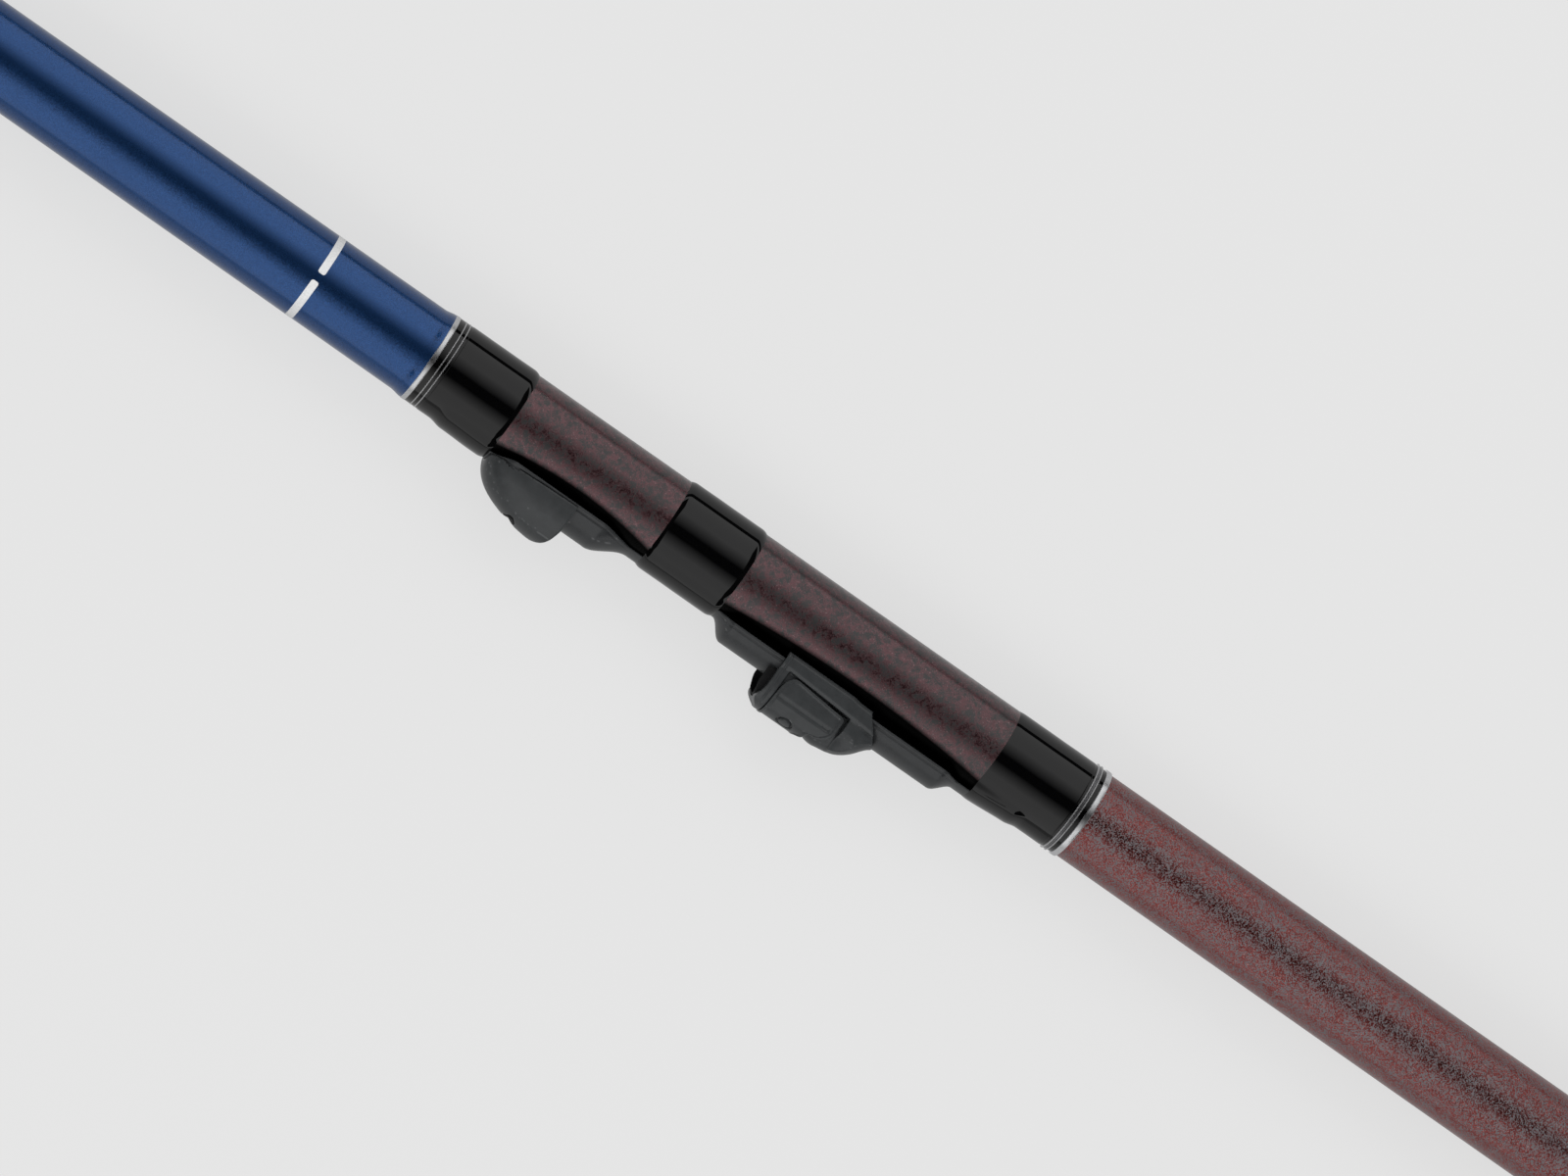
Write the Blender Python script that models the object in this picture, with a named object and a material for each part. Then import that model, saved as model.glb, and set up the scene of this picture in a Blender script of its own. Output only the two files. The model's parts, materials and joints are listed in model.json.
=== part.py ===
"""Telescopic spinning rod, closed, with a two-plate reel seat.

The rod lies along +X: the butt end is at x = 0 and the tip points to +X. The reel side, with
the hoods and the line guides, faces +Y. +Z is up when the rod lies on its side. The axis of the
rod is the X axis. Places around the reel seat are distances ahead of the seat datum, which is
where the maroon blank starts again behind the seat.
"""

import math

import bmesh
import bpy

MM = 0.001

# Butt section and its reel seat datum
BUTT_LENGTH = 800.0 * MM
SEAT_DATUM = 215.0 * MM
BLANK_RADIUS_AT_DATUM = 10.0 * MM
BLANK_TAPER = 0.00145
BLANK_WALL = 1.0 * MM
BLANK_SIDES = 32

# Gaps between pieces that touch on the real rod
GAP = 0.3 * MM
WOUND_GAP = 0.1 * MM
RUNNING_GAP = 0.25 * MM
SLIP_GAP = 0.15 * MM

# Butt cap, with its screw plug
CAP_RADIUS = BLANK_RADIUS_AT_DATUM + 0.9 * MM
CAP_LENGTH = 12.0 * MM
CAP_CHAMFER = 0.8 * MM
CAP_RIM = 3.4 * MM
CAP_FLUTES = 12
FLUTE_DEPTH = 0.5 * MM
PAD_RADIUS = CAP_RADIUS - CAP_RIM
PAD_THICKNESS = 2.5 * MM
PAD_PROUD = 0.5 * MM
PAD_ROUNDING = 0.5 * MM
WASHER_THICKNESS = 1.0 * MM
WASHER_INSET = 0.6 * MM
SOCKET_WALL = 2.0 * MM
SOCKET_LENGTH = 20.0 * MM
THREAD_PITCH = 2.0 * MM
THREAD_HEIGHT = 0.5 * MM
THREAD_TURNS = 4
THREAD_END = 1.0 * MM
CUSHION_THICKNESS = 2.0 * MM

# Bands and windings behind the seat, as distances ahead of the datum
REAR_SILVER = (6.0 * MM, 7.3 * MM)
REAR_ACCENT = (REAR_SILVER[1] + 0.9 * MM, REAR_SILVER[1] + 2.2 * MM)
REAR_WHIPPING = (REAR_ACCENT[1] + GAP, REAR_ACCENT[1] + GAP + 19.2 * MM)
BAND_THICKNESS = 0.3 * MM
WHIPPING_WALL = 0.4 * MM
WHIPPING_EDGE = 0.6 * MM
WHIPPING_SIDES = 36

# Seat plates: strips of one radius, whose feet end under the windings
PLATE_THICKNESS = 0.7 * MM
PLATE_RADIUS = 9.4 * MM
PLATE_FACETS = 9
FOOT_THICKNESS = 0.4 * MM
FOOT_HALF_WIDTH = 5.7 * MM
FOOT_END_HALF_WIDTH = 2.6 * MM
FOOT_TAPER = 3.0 * MM
FEET_APART = 1.0 * MM
RAMP_SHARES = (0.25, 0.5, 0.75, 0.9)
REST_DEPTH = 0.05 * MM
REST_STEP = 0.5 * MM

# Rear plate: height of its crown, drop from the crown to its edges, and its places
REAR_PLATE_CROWN = BLANK_RADIUS_AT_DATUM + 3.5 * MM
REAR_PLATE_DROP = 4.7 * MM
REAR_PLATE_EDGE = REAR_PLATE_CROWN - REAR_PLATE_DROP
REAR_PLATE_HALF_WIDTH = math.sqrt(REAR_PLATE_DROP * (2.0 * PLATE_RADIUS - REAR_PLATE_DROP))
REAR_PLATE_RAMPS = (5.0 * MM, 3.5 * MM)
REAR_PLATE_FLAT = (REAR_WHIPPING[1] + 8.0 * MM, REAR_WHIPPING[1] + 60.0 * MM)

# Middle winding, over the two inner feet
MIDDLE_WHIPPING_LENGTH = 19.0 * MM
MIDDLE_WHIPPING_START = REAR_PLATE_FLAT[1] + REAR_PLATE_RAMPS[1] + 0.5 * MM
MIDDLE_WHIPPING = (MIDDLE_WHIPPING_START, MIDDLE_WHIPPING_START + MIDDLE_WHIPPING_LENGTH)
FEET_MEET = MIDDLE_WHIPPING_START + MIDDLE_WHIPPING_LENGTH / 2.0
REAR_PLATE_ENDS = (REAR_WHIPPING[1] - 10.0 * MM, FEET_MEET - FEET_APART / 2.0)

# Fixed hood, whose mouth faces the butt, and the front plate under it
FRONT_PLATE_CROWN = BLANK_RADIUS_AT_DATUM + 3.2 * MM
FRONT_PLATE_DROP = 5.9 * MM
FRONT_PLATE_EDGE = FRONT_PLATE_CROWN - FRONT_PLATE_DROP
FRONT_PLATE_HALF_WIDTH = math.sqrt(FRONT_PLATE_DROP * (2.0 * PLATE_RADIUS - FRONT_PLATE_DROP))
FRONT_PLATE_START = MIDDLE_WHIPPING[1] + 11.0 * MM
FIXED_MOUTH = FRONT_PLATE_START + 5.4 * MM
FIXED_LENGTH = 21.3 * MM
FIXED_NOSE = FIXED_MOUTH + FIXED_LENGTH
FRONT_PLATE_FLAT = (FRONT_PLATE_START, FIXED_NOSE - 5.7 * MM)
FRONT_PLATE_RAMPS = (6.5 * MM, FIXED_NOSE - FRONT_PLATE_FLAT[1])
FRONT_WHIPPING = (FIXED_NOSE + GAP, FIXED_NOSE + GAP + 17.0 * MM)
FRONT_PLATE_ENDS = (FEET_MEET + FEET_APART / 2.0, FRONT_WHIPPING[1] - 4.0 * MM)
FRONT_ACCENT = (FRONT_WHIPPING[1] + GAP, FRONT_WHIPPING[1] + GAP + 1.4 * MM)
FRONT_SILVER = (FRONT_ACCENT[1] + 1.2 * MM, FRONT_ACCENT[1] + 2.3 * MM)

FIXED_CROWN = FRONT_PLATE_CROWN + 5.65 * MM
FIXED_HALF_WIDTH = FRONT_PLATE_HALF_WIDTH + 0.68 * MM
FIXED_BASE = FRONT_PLATE_EDGE + 0.6 * MM
FIXED_FULLNESS = 2.3
FIXED_POCKET_FULLNESS = 2.5
FIXED_POCKET_END = FIXED_NOSE - 8.2 * MM
FIXED_NUB = FIXED_NOSE - 11.2 * MM
FIXED_NUB_RADIUS = 1.2 * MM
FIXED_NUB_SPAN = (FIXED_CROWN - 2.0 * MM, FIXED_CROWN - 0.75 * MM)
HOOD_WALL = 0.75 * MM
LINER_WALL = 0.45 * MM
LINER_GAP = 0.1 * MM

# The fixed hood's shape, in mm: distance behind the nose, narrowing, rise of its base, fall of its crown
FIXED_SHAPE = [
    (27.3, 0.0, -0.3, 0.0),
    (16.5, 0.0, -0.1, 0.0),
    (12.5, 0.1, 0.0, 0.5),
    (9.5, 0.4, 0.1, 1.25),
    (6.5, 0.8, 0.2, 2.25),
    (3.5, 1.5, 0.4, 4.0),
    (1.6, 2.3, 0.7, 5.7),
    (0.5, 3.0, 1.0, 7.1),
    (0.0, 3.8, 1.3, 7.9),
]

# Sliding hood, whose mouth faces the tip
SLIDING_MOUTH = REAR_PLATE_FLAT[1] - 11.6 * MM
SLIDING_LENGTH = 27.1 * MM
SLIDING_REAR = SLIDING_MOUTH - SLIDING_LENGTH
SLIDING_SKIRT_FRONT = SLIDING_MOUTH - 1.4 * MM
SLIDING_SKIRT_REAR = SLIDING_REAR + 4.7 * MM
SLIDING_CROWN = REAR_PLATE_CROWN + 6.8 * MM
SLIDING_POCKET_END = SLIDING_MOUTH - 13.4 * MM
SLIDING_NUB = SLIDING_MOUTH - 8.9 * MM
SLIDING_NUB_RADIUS = 1.6 * MM
SKIRT_WALL = 0.7 * MM
SKIRT_BOTTOM = REAR_PLATE_EDGE - 1.8 * MM
SKIRT_HALF_WIDTH = REAR_PLATE_HALF_WIDTH + RUNNING_GAP + SKIRT_WALL
SKIRT_CORNER = 0.7 * MM
LIP_REACH = 0.9 * MM
SHOULDER = REAR_PLATE_EDGE + 2.5 * MM
CUP_SPRING = REAR_PLATE_CROWN - 0.9 * MM
CUP_HALF_WIDTH = SKIRT_HALF_WIDTH - 0.5 * MM
CUP_FULLNESS = 2.7

# The sliding hood's heel, in mm: distance ahead of its rear, lift of its bottom, narrowing, fall of its crown
HEEL_SHAPE = [
    (5.2, 0.4, 0.3, 1.5),
    (3.2, 0.5, 0.7, 3.3),
    (1.2, 0.5, 1.3, 5.2),
    (-0.5, 0.5, 1.8, 6.1),
]

# Lock lever over the sliding hood, and the barrel round its pin
LEVER_WALL = 0.85 * MM
LEVER_GAP = 0.2 * MM
LEVER_FRONT = SLIDING_MOUTH - 3.4 * MM
LEVER_CROWN_REAR = SLIDING_POCKET_END - 0.4 * MM
LEVER_BOTTOM = SHOULDER + 0.4 * MM
LEVER_CORNER = 1.6 * MM
PIN_PLACE = SLIDING_POCKET_END - 2.8 * MM
PIN_HEIGHT = REAR_PLATE_CROWN + 1.9 * MM
PIN_RADIUS = 0.9 * MM
LEVER_EYE_RADIUS = 2.3 * MM
BARREL_RADIUS = SLIDING_CROWN - 0.5 * MM - PIN_HEIGHT
BARREL_INSET = 1.0 * MM
STEP_WIDTH = 0.2 * MM

# Helpers that cut reach this far past what they cut
CUTTER_REACH = 6.0 * MM
CUTTER_HALF_DEPTH = 20.0 * MM

# Telescoping sections after the butt, in mm: wall, length of the guide's sleeve, overlap when drawn
# out, and each section's share of the whole taper
SECTIONS = {
    2: {"wall": 0.9, "sleeve": 12.0, "overlap": 70.0, "taper_share": 0.31, "sides": 24},
    3: {"wall": 0.8, "sleeve": 11.0, "overlap": 60.0, "taper_share": 0.30, "sides": 24},
    4: {"wall": 0.65, "sleeve": 10.0, "overlap": 50.0, "taper_share": 0.24, "sides": 20},
    5: {"wall": 0.5, "sleeve": 9.0, "overlap": 45.0, "taper_share": 0.15, "sides": 16},
}
LAST_SECTION = max(SECTIONS)
TIP_BASE_RADIUS = 0.85 * MM
TIP_FRONT_RADIUS = 0.45 * MM
TIP_SIDES = 12
TIP_OVERLAP = 40.0 * MM
SECTION_REST_GAP = 1.0 * MM
STOP_WINDING = 3.0 * MM
WINDING_WALL = 0.45 * MM
MOUTH_BAND = 8.0 * MM

# Line guides, in mm: bore and wall of the ceramic ring, and height of the frame's legs
RINGS = {
    2: {"bore": 6.25, "wall": 1.5, "leg": 4.0},
    3: {"bore": 4.5, "wall": 1.3, "leg": 3.4},
    4: {"bore": 3.5, "wall": 1.1, "leg": 2.8},
    5: {"bore": 3.05, "wall": 0.9, "leg": 2.4},
}
LOWER_FLOAT_RING = {"bore": 2.3, "wall": 0.8, "leg": 1.8}
UPPER_FLOAT_RING = {"bore": 2.1, "wall": 0.8, "leg": 1.6}
TIP_TOP_RING = {"bore": 2.0, "wall": 0.8, "leg": 1.2}
RING_WIDTH = 2.0 * MM
RING_ROUNDING = 0.3 * MM
RING_SIDES = 16
FRAME_WIDTH = 1.2 * MM
FRAME_RIM = 0.9 * MM
FRAME_SHEET = 0.8 * MM
FRONT_LEG_WIDTH = 2.2 * MM
SIDE_LEG_WIDTH = 0.7 * MM
SIDE_LEG_ANGLE = math.radians(55.0)
SIDE_LEG_START = 1.2 * MM
RING_PLACE = 0.62
SLEEVE_WALL = 0.5 * MM
FLOAT_SLEEVE = 6.0 * MM
TIP_TOP_SLEEVE = 8.0 * MM
FLOAT_SPACING = 1.5 * MM
LOWER_FLOAT_BORE = TIP_BASE_RADIUS
UPPER_FLOAT_BORE = TIP_BASE_RADIUS - 0.13 * MM


def clear_scene():
    for obj in list(bpy.data.objects):
        bpy.data.objects.remove(obj)


def finish(name, colour, roughness, metallic=0.0):
    """A material with the piece's own colour, roughness and metallic value."""
    material = bpy.data.materials.new(name)
    material.use_nodes = True
    shader = material.node_tree.nodes["Principled BSDF"]
    shader.inputs["Base Color"].default_value = (*colour, 1.0)
    shader.inputs["Roughness"].default_value = roughness
    shader.inputs["Metallic"].default_value = metallic
    material.diffuse_color = (*colour, 1.0)
    return material


def body_frame(name, place, parent=None):
    """An empty on a body's joint axis, which carries the body's pieces."""
    empty = bpy.data.objects.new(name, None)
    empty.empty_display_size = 0.01
    bpy.context.scene.collection.objects.link(empty)
    empty["place"] = place
    if parent is None:
        empty.location = place
    else:
        empty.parent = parent
        empty.location = [a - b for a, b in zip(place, parent["place"])]
    return empty


def link_mesh(name, bm, carrier):
    """Turns world-space geometry into an object whose origin is its carrier's."""
    bmesh.ops.recalc_face_normals(bm, faces=bm.faces)
    origin = carrier["place"]
    bmesh.ops.translate(bm, verts=bm.verts, vec=[-value for value in origin])
    mesh = bpy.data.meshes.new(name)
    bm.to_mesh(mesh)
    bm.free()
    obj = bpy.data.objects.new(name, mesh)
    bpy.context.scene.collection.objects.link(obj)
    obj.parent = carrier
    return obj


def piece(name, bm, material, carrier):
    obj = link_mesh(name, bm, carrier)
    obj.data.materials.append(material)
    obj.data.shade_smooth()
    obj.data.set_sharp_from_angle(angle=math.radians(35))
    return obj


def combine(obj, bm, operation):
    """Cuts, joins or trims a piece with a helper solid, which stays hidden."""
    count = len(obj.modifiers) + 1
    helper = link_mesh(f"{obj.name}_{operation.lower()}_{count}", bm, obj.parent)
    helper.hide_render = True
    helper.display_type = "WIRE"
    modifier = obj.modifiers.new(helper.name, "BOOLEAN")
    modifier.operation = operation
    modifier.solver = "EXACT"
    modifier.object = helper


def turned(profile, sides, centre=(0.0, 0.0)):
    """Spins a profile of (x, radius) points about the line along X through the centre (y, z)."""
    bm = bmesh.new()
    y, z = centre
    points = [bm.verts.new((x, y + radius, z)) for x, radius in profile]
    edges = [bm.edges.new(pair) for pair in zip(points, points[1:])]
    if profile[0][1] > 0.0:
        edges.append(bm.edges.new((points[-1], points[0])))
    bmesh.ops.spin(
        bm,
        geom=points + edges,
        cent=(0.0, y, z),
        axis=(1.0, 0.0, 0.0),
        angle=math.tau,
        steps=sides,
        use_merge=True,
    )
    bmesh.ops.remove_doubles(bm, verts=bm.verts, dist=1e-7)
    return bm


def tube(start, end, inner, outer, sides, centre=(0.0, 0.0)):
    """A straight or tapered tube; inner and outer are radii, or pairs of them for the two ends."""
    inner = inner if isinstance(inner, tuple) else (inner, inner)
    outer = outer if isinstance(outer, tuple) else (outer, outer)
    profile = [(start, inner[0]), (start, outer[0]), (end, outer[1]), (end, inner[1])]
    return turned(profile, sides, centre)


def loft(loops):
    """Skins closed loops of equal length, one after the other, and caps both ends."""
    bm = bmesh.new()
    rings = [[bm.verts.new(point) for point in loop] for loop in loops]
    for ring, after in zip(rings, rings[1:]):
        for i in range(len(ring)):
            j = (i + 1) % len(ring)
            bm.faces.new((ring[i], ring[j], after[j], after[i]))
    bm.faces.new(reversed(rings[0]))
    bm.faces.new(rings[-1])
    return bm


def prism(outline, half_depth):
    """Extrudes a side outline of (distance ahead of the datum, height) points across the rod."""
    return loft(
        [[(SEAT_DATUM + ahead, height, depth) for ahead, height in outline]
         for depth in (-half_depth, half_depth)]
    )


def peg(ahead, low, high, radius, sides=12):
    """A round peg that stands along Y, on the rod's middle plane."""
    angles = [math.tau * i / sides for i in range(sides)]
    return loft(
        [[(SEAT_DATUM + ahead + radius * math.cos(angle), height, radius * math.sin(angle))
          for angle in angles] for height in (low, high)]
    )


def cross_pin(ahead, height, radius, half_length, sides=16):
    """A round bar across the rod, along Z."""
    angles = [math.tau * i / sides for i in range(sides)]
    outline = [(ahead + radius * math.cos(angle), height + radius * math.sin(angle)) for angle in angles]
    return prism(outline, half_length)


def blank_radius(x):
    return BLANK_RADIUS_AT_DATUM - BLANK_TAPER * (x - SEAT_DATUM)


def smooth_step(value):
    value = min(max(value, 0.0), 1.0)
    return value * value * (3.0 - 2.0 * value)


def between(table, ahead):
    """Reads a row of values from a table of (distance, values...) at any distance."""
    rows = sorted(table)
    if ahead <= rows[0][0]:
        return rows[0][1:]
    for low, high in zip(rows, rows[1:]):
        if ahead <= high[0]:
            share = (ahead - low[0]) / (high[0] - low[0])
            return tuple(a + share * (b - a) for a, b in zip(low[1:], high[1:]))
    return rows[-1][1:]


# Butt section


def butt_start():
    return PAD_PROUD + CAP_LENGTH + WASHER_THICKNESS + 2.0 * GAP


def socket_bore():
    return blank_radius(butt_start()) - BLANK_WALL - WOUND_GAP - SOCKET_WALL


def socket_end():
    return butt_start() + SOCKET_LENGTH


def section_base():
    """Where the closed sections rest, just ahead of the socket and the cushion."""
    return socket_end() + GAP


def make_butt_blank(material, body):
    start = butt_start()
    bm = tube(
        start,
        BUTT_LENGTH,
        (blank_radius(start) - BLANK_WALL, blank_radius(BUTT_LENGTH) - BLANK_WALL),
        (blank_radius(start), blank_radius(BUTT_LENGTH)),
        BLANK_SIDES,
    )
    piece("butt_blank", bm, material, body)


def make_thread_socket(material, body):
    outer = blank_radius(socket_end()) - BLANK_WALL - WOUND_GAP
    bm = tube(butt_start(), socket_end(), socket_bore(), outer, BLANK_SIDES)
    piece("thread_socket", bm, material, body)


def make_band(name, span, material, body):
    """A thin band around the butt blank, between two distances ahead of the datum."""
    start, end = (SEAT_DATUM + value for value in span)
    inner = (blank_radius(start) + WOUND_GAP, blank_radius(end) + WOUND_GAP)
    outer = (inner[0] + BAND_THICKNESS, inner[1] + BAND_THICKNESS)
    piece(name, tube(start, end, inner, outer, BLANK_SIDES), material, body)


def foot_cover(angle):
    """1 over a plate's foot, 0 round the rest of the blank, for an angle from the reel side."""
    foot_edge = math.asin(FOOT_HALF_WIDTH / BLANK_RADIUS_AT_DATUM)
    from_reel_side = abs(math.remainder(angle, math.tau))
    return 1.0 - smooth_step((from_reel_side - foot_edge - math.radians(4.0)) / math.radians(14.0))


def make_whipping(name, span, foot, material, body):
    """A winding over the blank and a plate's foot, given as its end and the way it points, or None."""
    start, end = span
    stations = [start, start + WHIPPING_EDGE, end - WHIPPING_EDGE, end]
    if foot:
        stations += [foot[0] - FOOT_TAPER, foot[0], foot[0] + FOOT_TAPER]
    stations = sorted({value for value in stations if start <= value <= end})
    angles = [math.tau * i / WHIPPING_SIDES for i in range(WHIPPING_SIDES)]
    bm = bmesh.new()
    rings = []
    for ahead in stations:
        x = SEAT_DATUM + ahead
        lift = foot_lift(ahead, foot) * (FOOT_THICKNESS + WOUND_GAP)
        edge = min(ahead - start, end - ahead) / WHIPPING_EDGE
        wall = WHIPPING_WALL * (0.5 + 0.5 * min(edge, 1.0))
        for wall_part in (0.0, wall):
            ring = []
            for angle in angles:
                radius = blank_radius(x) + WOUND_GAP + lift * foot_cover(angle) + wall_part
                ring.append(bm.verts.new((x, radius * math.cos(angle), radius * math.sin(angle))))
            rings.append(ring)
    inner, outer = rings[0::2], rings[1::2]
    skins = [*zip(inner, inner[1:]), *zip(outer, outer[1:]), (inner[0], outer[0]), (inner[-1], outer[-1])]
    for ring, after in skins:
        for i in range(WHIPPING_SIDES):
            j = (i + 1) % WHIPPING_SIDES
            bm.faces.new((ring[i], ring[j], after[j], after[i]))
    piece(name, bm, material, body)


def foot_lift(ahead, foot):
    """1 where a foot lies under the winding, falling to 0 past the foot's end."""
    if not foot:
        return 1.0
    foot_end, points = foot
    return 1.0 - smooth_step(points * (ahead - foot_end) / FOOT_TAPER)


# Seat plates


def arc_band(x, crown, half_width, edge_height, thickness):
    """A closed loop round a curved strip: an arc through both edges and the crown, and its offset."""
    rise = crown - edge_height
    radius = (half_width**2 + rise**2) / (2.0 * rise)
    half_angle = math.atan2(half_width, radius - rise)
    centre = crown - radius
    angles = [half_angle * (2.0 * i / PLATE_FACETS - 1.0) for i in range(PLATE_FACETS + 1)]
    outer = [(x, centre + radius * math.cos(a), radius * math.sin(a)) for a in angles]
    inner_radius = radius - thickness
    inner = [(x, centre + inner_radius * math.cos(a), inner_radius * math.sin(a)) for a in reversed(angles)]
    return outer + inner


def foot_section(ahead, half_width):
    x = SEAT_DATUM + ahead
    outer = blank_radius(x) + WOUND_GAP + FOOT_THICKNESS
    return arc_band(x, outer, half_width, math.sqrt(outer**2 - half_width**2), FOOT_THICKNESS)


def foot_tongue(end, inward):
    """The rounded end of a foot, from its end to its full width."""
    loops = []
    for share in (0.0, 0.3, 0.6, 1.0):
        growth = math.sin(share * math.pi / 2.0)
        half_width = FOOT_END_HALF_WIDTH + growth * (FOOT_HALF_WIDTH - FOOT_END_HALF_WIDTH)
        loops.append(foot_section(end + inward * share * FOOT_TAPER, half_width))
    return loops


def crown_stations(flat, rest):
    """Places along a plate's raised part, with how far the reel foot's rest is pressed into each."""
    stations = [(rest[0], REST_DEPTH), (rest[1], REST_DEPTH)]
    if rest[0] > flat[0]:
        stations = [(flat[0], 0.0), (rest[0] - REST_STEP, 0.0)] + stations
    if rest[1] < flat[1]:
        stations += [(rest[1] + REST_STEP, 0.0), (flat[1], 0.0)]
    return stations


def make_plate(name, ends, flat, ramps, rest, crown, half_width, edge_height, material, body):
    """A stamped plate: a raised arc-shaped strip that ramps down to a foot at each end."""
    rear_foot, front_foot = flat[0] - ramps[0], flat[1] + ramps[1]
    loops = foot_tongue(ends[0], 1.0)
    loops.append(foot_section(rear_foot, FOOT_HALF_WIDTH))
    loops += ramp(rear_foot, flat[0], crown, half_width, edge_height)
    for ahead, depth in crown_stations(flat, rest):
        loops.append(arc_band(SEAT_DATUM + ahead, crown - depth, half_width, edge_height, PLATE_THICKNESS))
    loops += reversed(ramp(front_foot, flat[1], crown, half_width, edge_height))
    loops.append(foot_section(front_foot, FOOT_HALF_WIDTH))
    loops += reversed(foot_tongue(ends[1], -1.0))
    piece(name, loft(loops), material, body)


def ramp(foot, flat, crown, half_width, edge_height):
    """The sections of a plate between its foot and its raised part."""
    loops = []
    for share in RAMP_SHARES:
        rise = smooth_step(share)
        x = SEAT_DATUM + foot + share * (flat - foot)
        low = blank_radius(x) + WOUND_GAP + FOOT_THICKNESS
        low_edge = math.sqrt(low**2 - FOOT_HALF_WIDTH**2)
        loops.append(
            arc_band(
                x,
                low + rise * (crown - low),
                FOOT_HALF_WIDTH + rise * (half_width - FOOT_HALF_WIDTH),
                low_edge + rise * (edge_height - low_edge),
                FOOT_THICKNESS + rise * (PLATE_THICKNESS - FOOT_THICKNESS),
            )
        )
    return loops


# Fixed hood


def dome_loop(ahead, half_width, base, crown, fullness, points=14):
    """A closed loop across the rod: a rounded arch over a flat base."""
    loop = []
    for i in range(points + 1):
        angle = math.pi * i / points
        across = half_width * math.copysign(abs(math.cos(angle)) ** (2.0 / fullness), math.cos(angle))
        height = base + (crown - base) * math.sin(angle) ** (2.0 / fullness)
        loop.append((SEAT_DATUM + ahead, height, across))
    return loop


def fixed_hood_table(inset, base_drop):
    """Distance, half width, base and crown of the fixed hood along its length, drawn in by the inset."""
    nose = FIXED_NOSE - inset
    crown = FIXED_CROWN - inset
    wide = FIXED_HALF_WIDTH - inset
    base = FIXED_BASE - base_drop
    return [
        (nose - behind * MM, wide - narrower * MM, base + higher * MM, crown - lower * MM)
        for behind, narrower, higher, lower in FIXED_SHAPE
    ]


def fixed_mouth_cutter(inset):
    """Takes off what lies behind the raked and rounded mouth of the fixed hood."""
    mouth = FIXED_MOUTH + inset
    lift = FIXED_CROWN
    outline = [
        (mouth, 0.0),
        (mouth, lift - 5.0 * MM),
        (mouth + 0.6 * MM, lift - 2.4 * MM),
        (mouth + 1.4 * MM, lift - 1.0 * MM),
        (mouth + 2.6 * MM, lift - 0.25 * MM),
        (mouth + 4.0 * MM, lift + 0.1 * MM),
        (mouth + 4.0 * MM, lift + CUTTER_REACH),
        (mouth - 2.0 * CUTTER_REACH, lift + CUTTER_REACH),
        (mouth - 2.0 * CUTTER_REACH, 0.0),
    ]
    return prism(outline, CUTTER_HALF_DEPTH)


def plate_clearance(flat, ramps, crown, gap):
    """Everything on the blank's side of a plate's outer face, grown by the gap."""
    rows = []
    for end, side in ((0, -1.0), (1, 1.0)):
        foot = flat[end] + side * ramps[end]
        foot_crown = blank_radius(SEAT_DATUM + foot) + WOUND_GAP + FOOT_THICKNESS
        rows += [(foot + side * CUTTER_REACH, foot_crown), (foot, foot_crown)]
        for share in RAMP_SHARES:
            rise = smooth_step(share)
            rows.append((foot + share * (flat[end] - foot), foot_crown + rise * (crown - foot_crown)))
        rows.append((flat[end], crown))
    radius = PLATE_RADIUS + gap
    sweep = math.radians(88.0)
    steps = 15
    angles = [sweep * (2.0 * i / steps - 1.0) for i in range(steps + 1)]
    wide = radius + CUTTER_REACH
    low = -CUTTER_REACH
    loops = []
    for ahead, top in sorted(rows):
        x = SEAT_DATUM + ahead
        centre = top + gap - radius
        arc = [(x, centre + radius * math.cos(a), radius * math.sin(a)) for a in angles]
        side = centre - 0.7 * MM
        loops.append(arc + [(x, side, wide), (x, low, wide), (x, low, -wide), (x, side, -wide)])
    return loft(loops)


def front_plate_clearance(gap):
    return plate_clearance(FRONT_PLATE_FLAT, FRONT_PLATE_RAMPS, FRONT_PLATE_CROWN, gap)


def fixed_pocket(inset, end):
    """The space inside the fixed hood, down to its blind end."""
    table = fixed_hood_table(HOOD_WALL + inset, 2.0 * MM)
    stations = [FIXED_MOUTH - CUTTER_REACH]
    stations += [FIXED_MOUTH + share * (end - FIXED_MOUTH) for share in (0.2, 0.5, 0.75, 1.0)]
    return loft([dome_loop(ahead, *between(table, ahead), FIXED_POCKET_FULLNESS) for ahead in stations])


def make_fixed_hood(material, body):
    loops = [dome_loop(*row, FIXED_FULLNESS) for row in fixed_hood_table(0.0, 0.0)]
    hood = piece("fixed_hood", loft(loops), material, body)
    combine(hood, fixed_pocket(0.0, FIXED_POCKET_END), "DIFFERENCE")
    combine(hood, front_plate_clearance(WOUND_GAP), "DIFFERENCE")
    combine(hood, fixed_mouth_cutter(0.0), "DIFFERENCE")
    nub_hole = peg(
        FIXED_NUB, FIXED_CROWN - CUTTER_REACH, FIXED_CROWN + CUTTER_REACH, FIXED_NUB_RADIUS + LINER_GAP
    )
    combine(hood, nub_hole, "DIFFERENCE")


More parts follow.
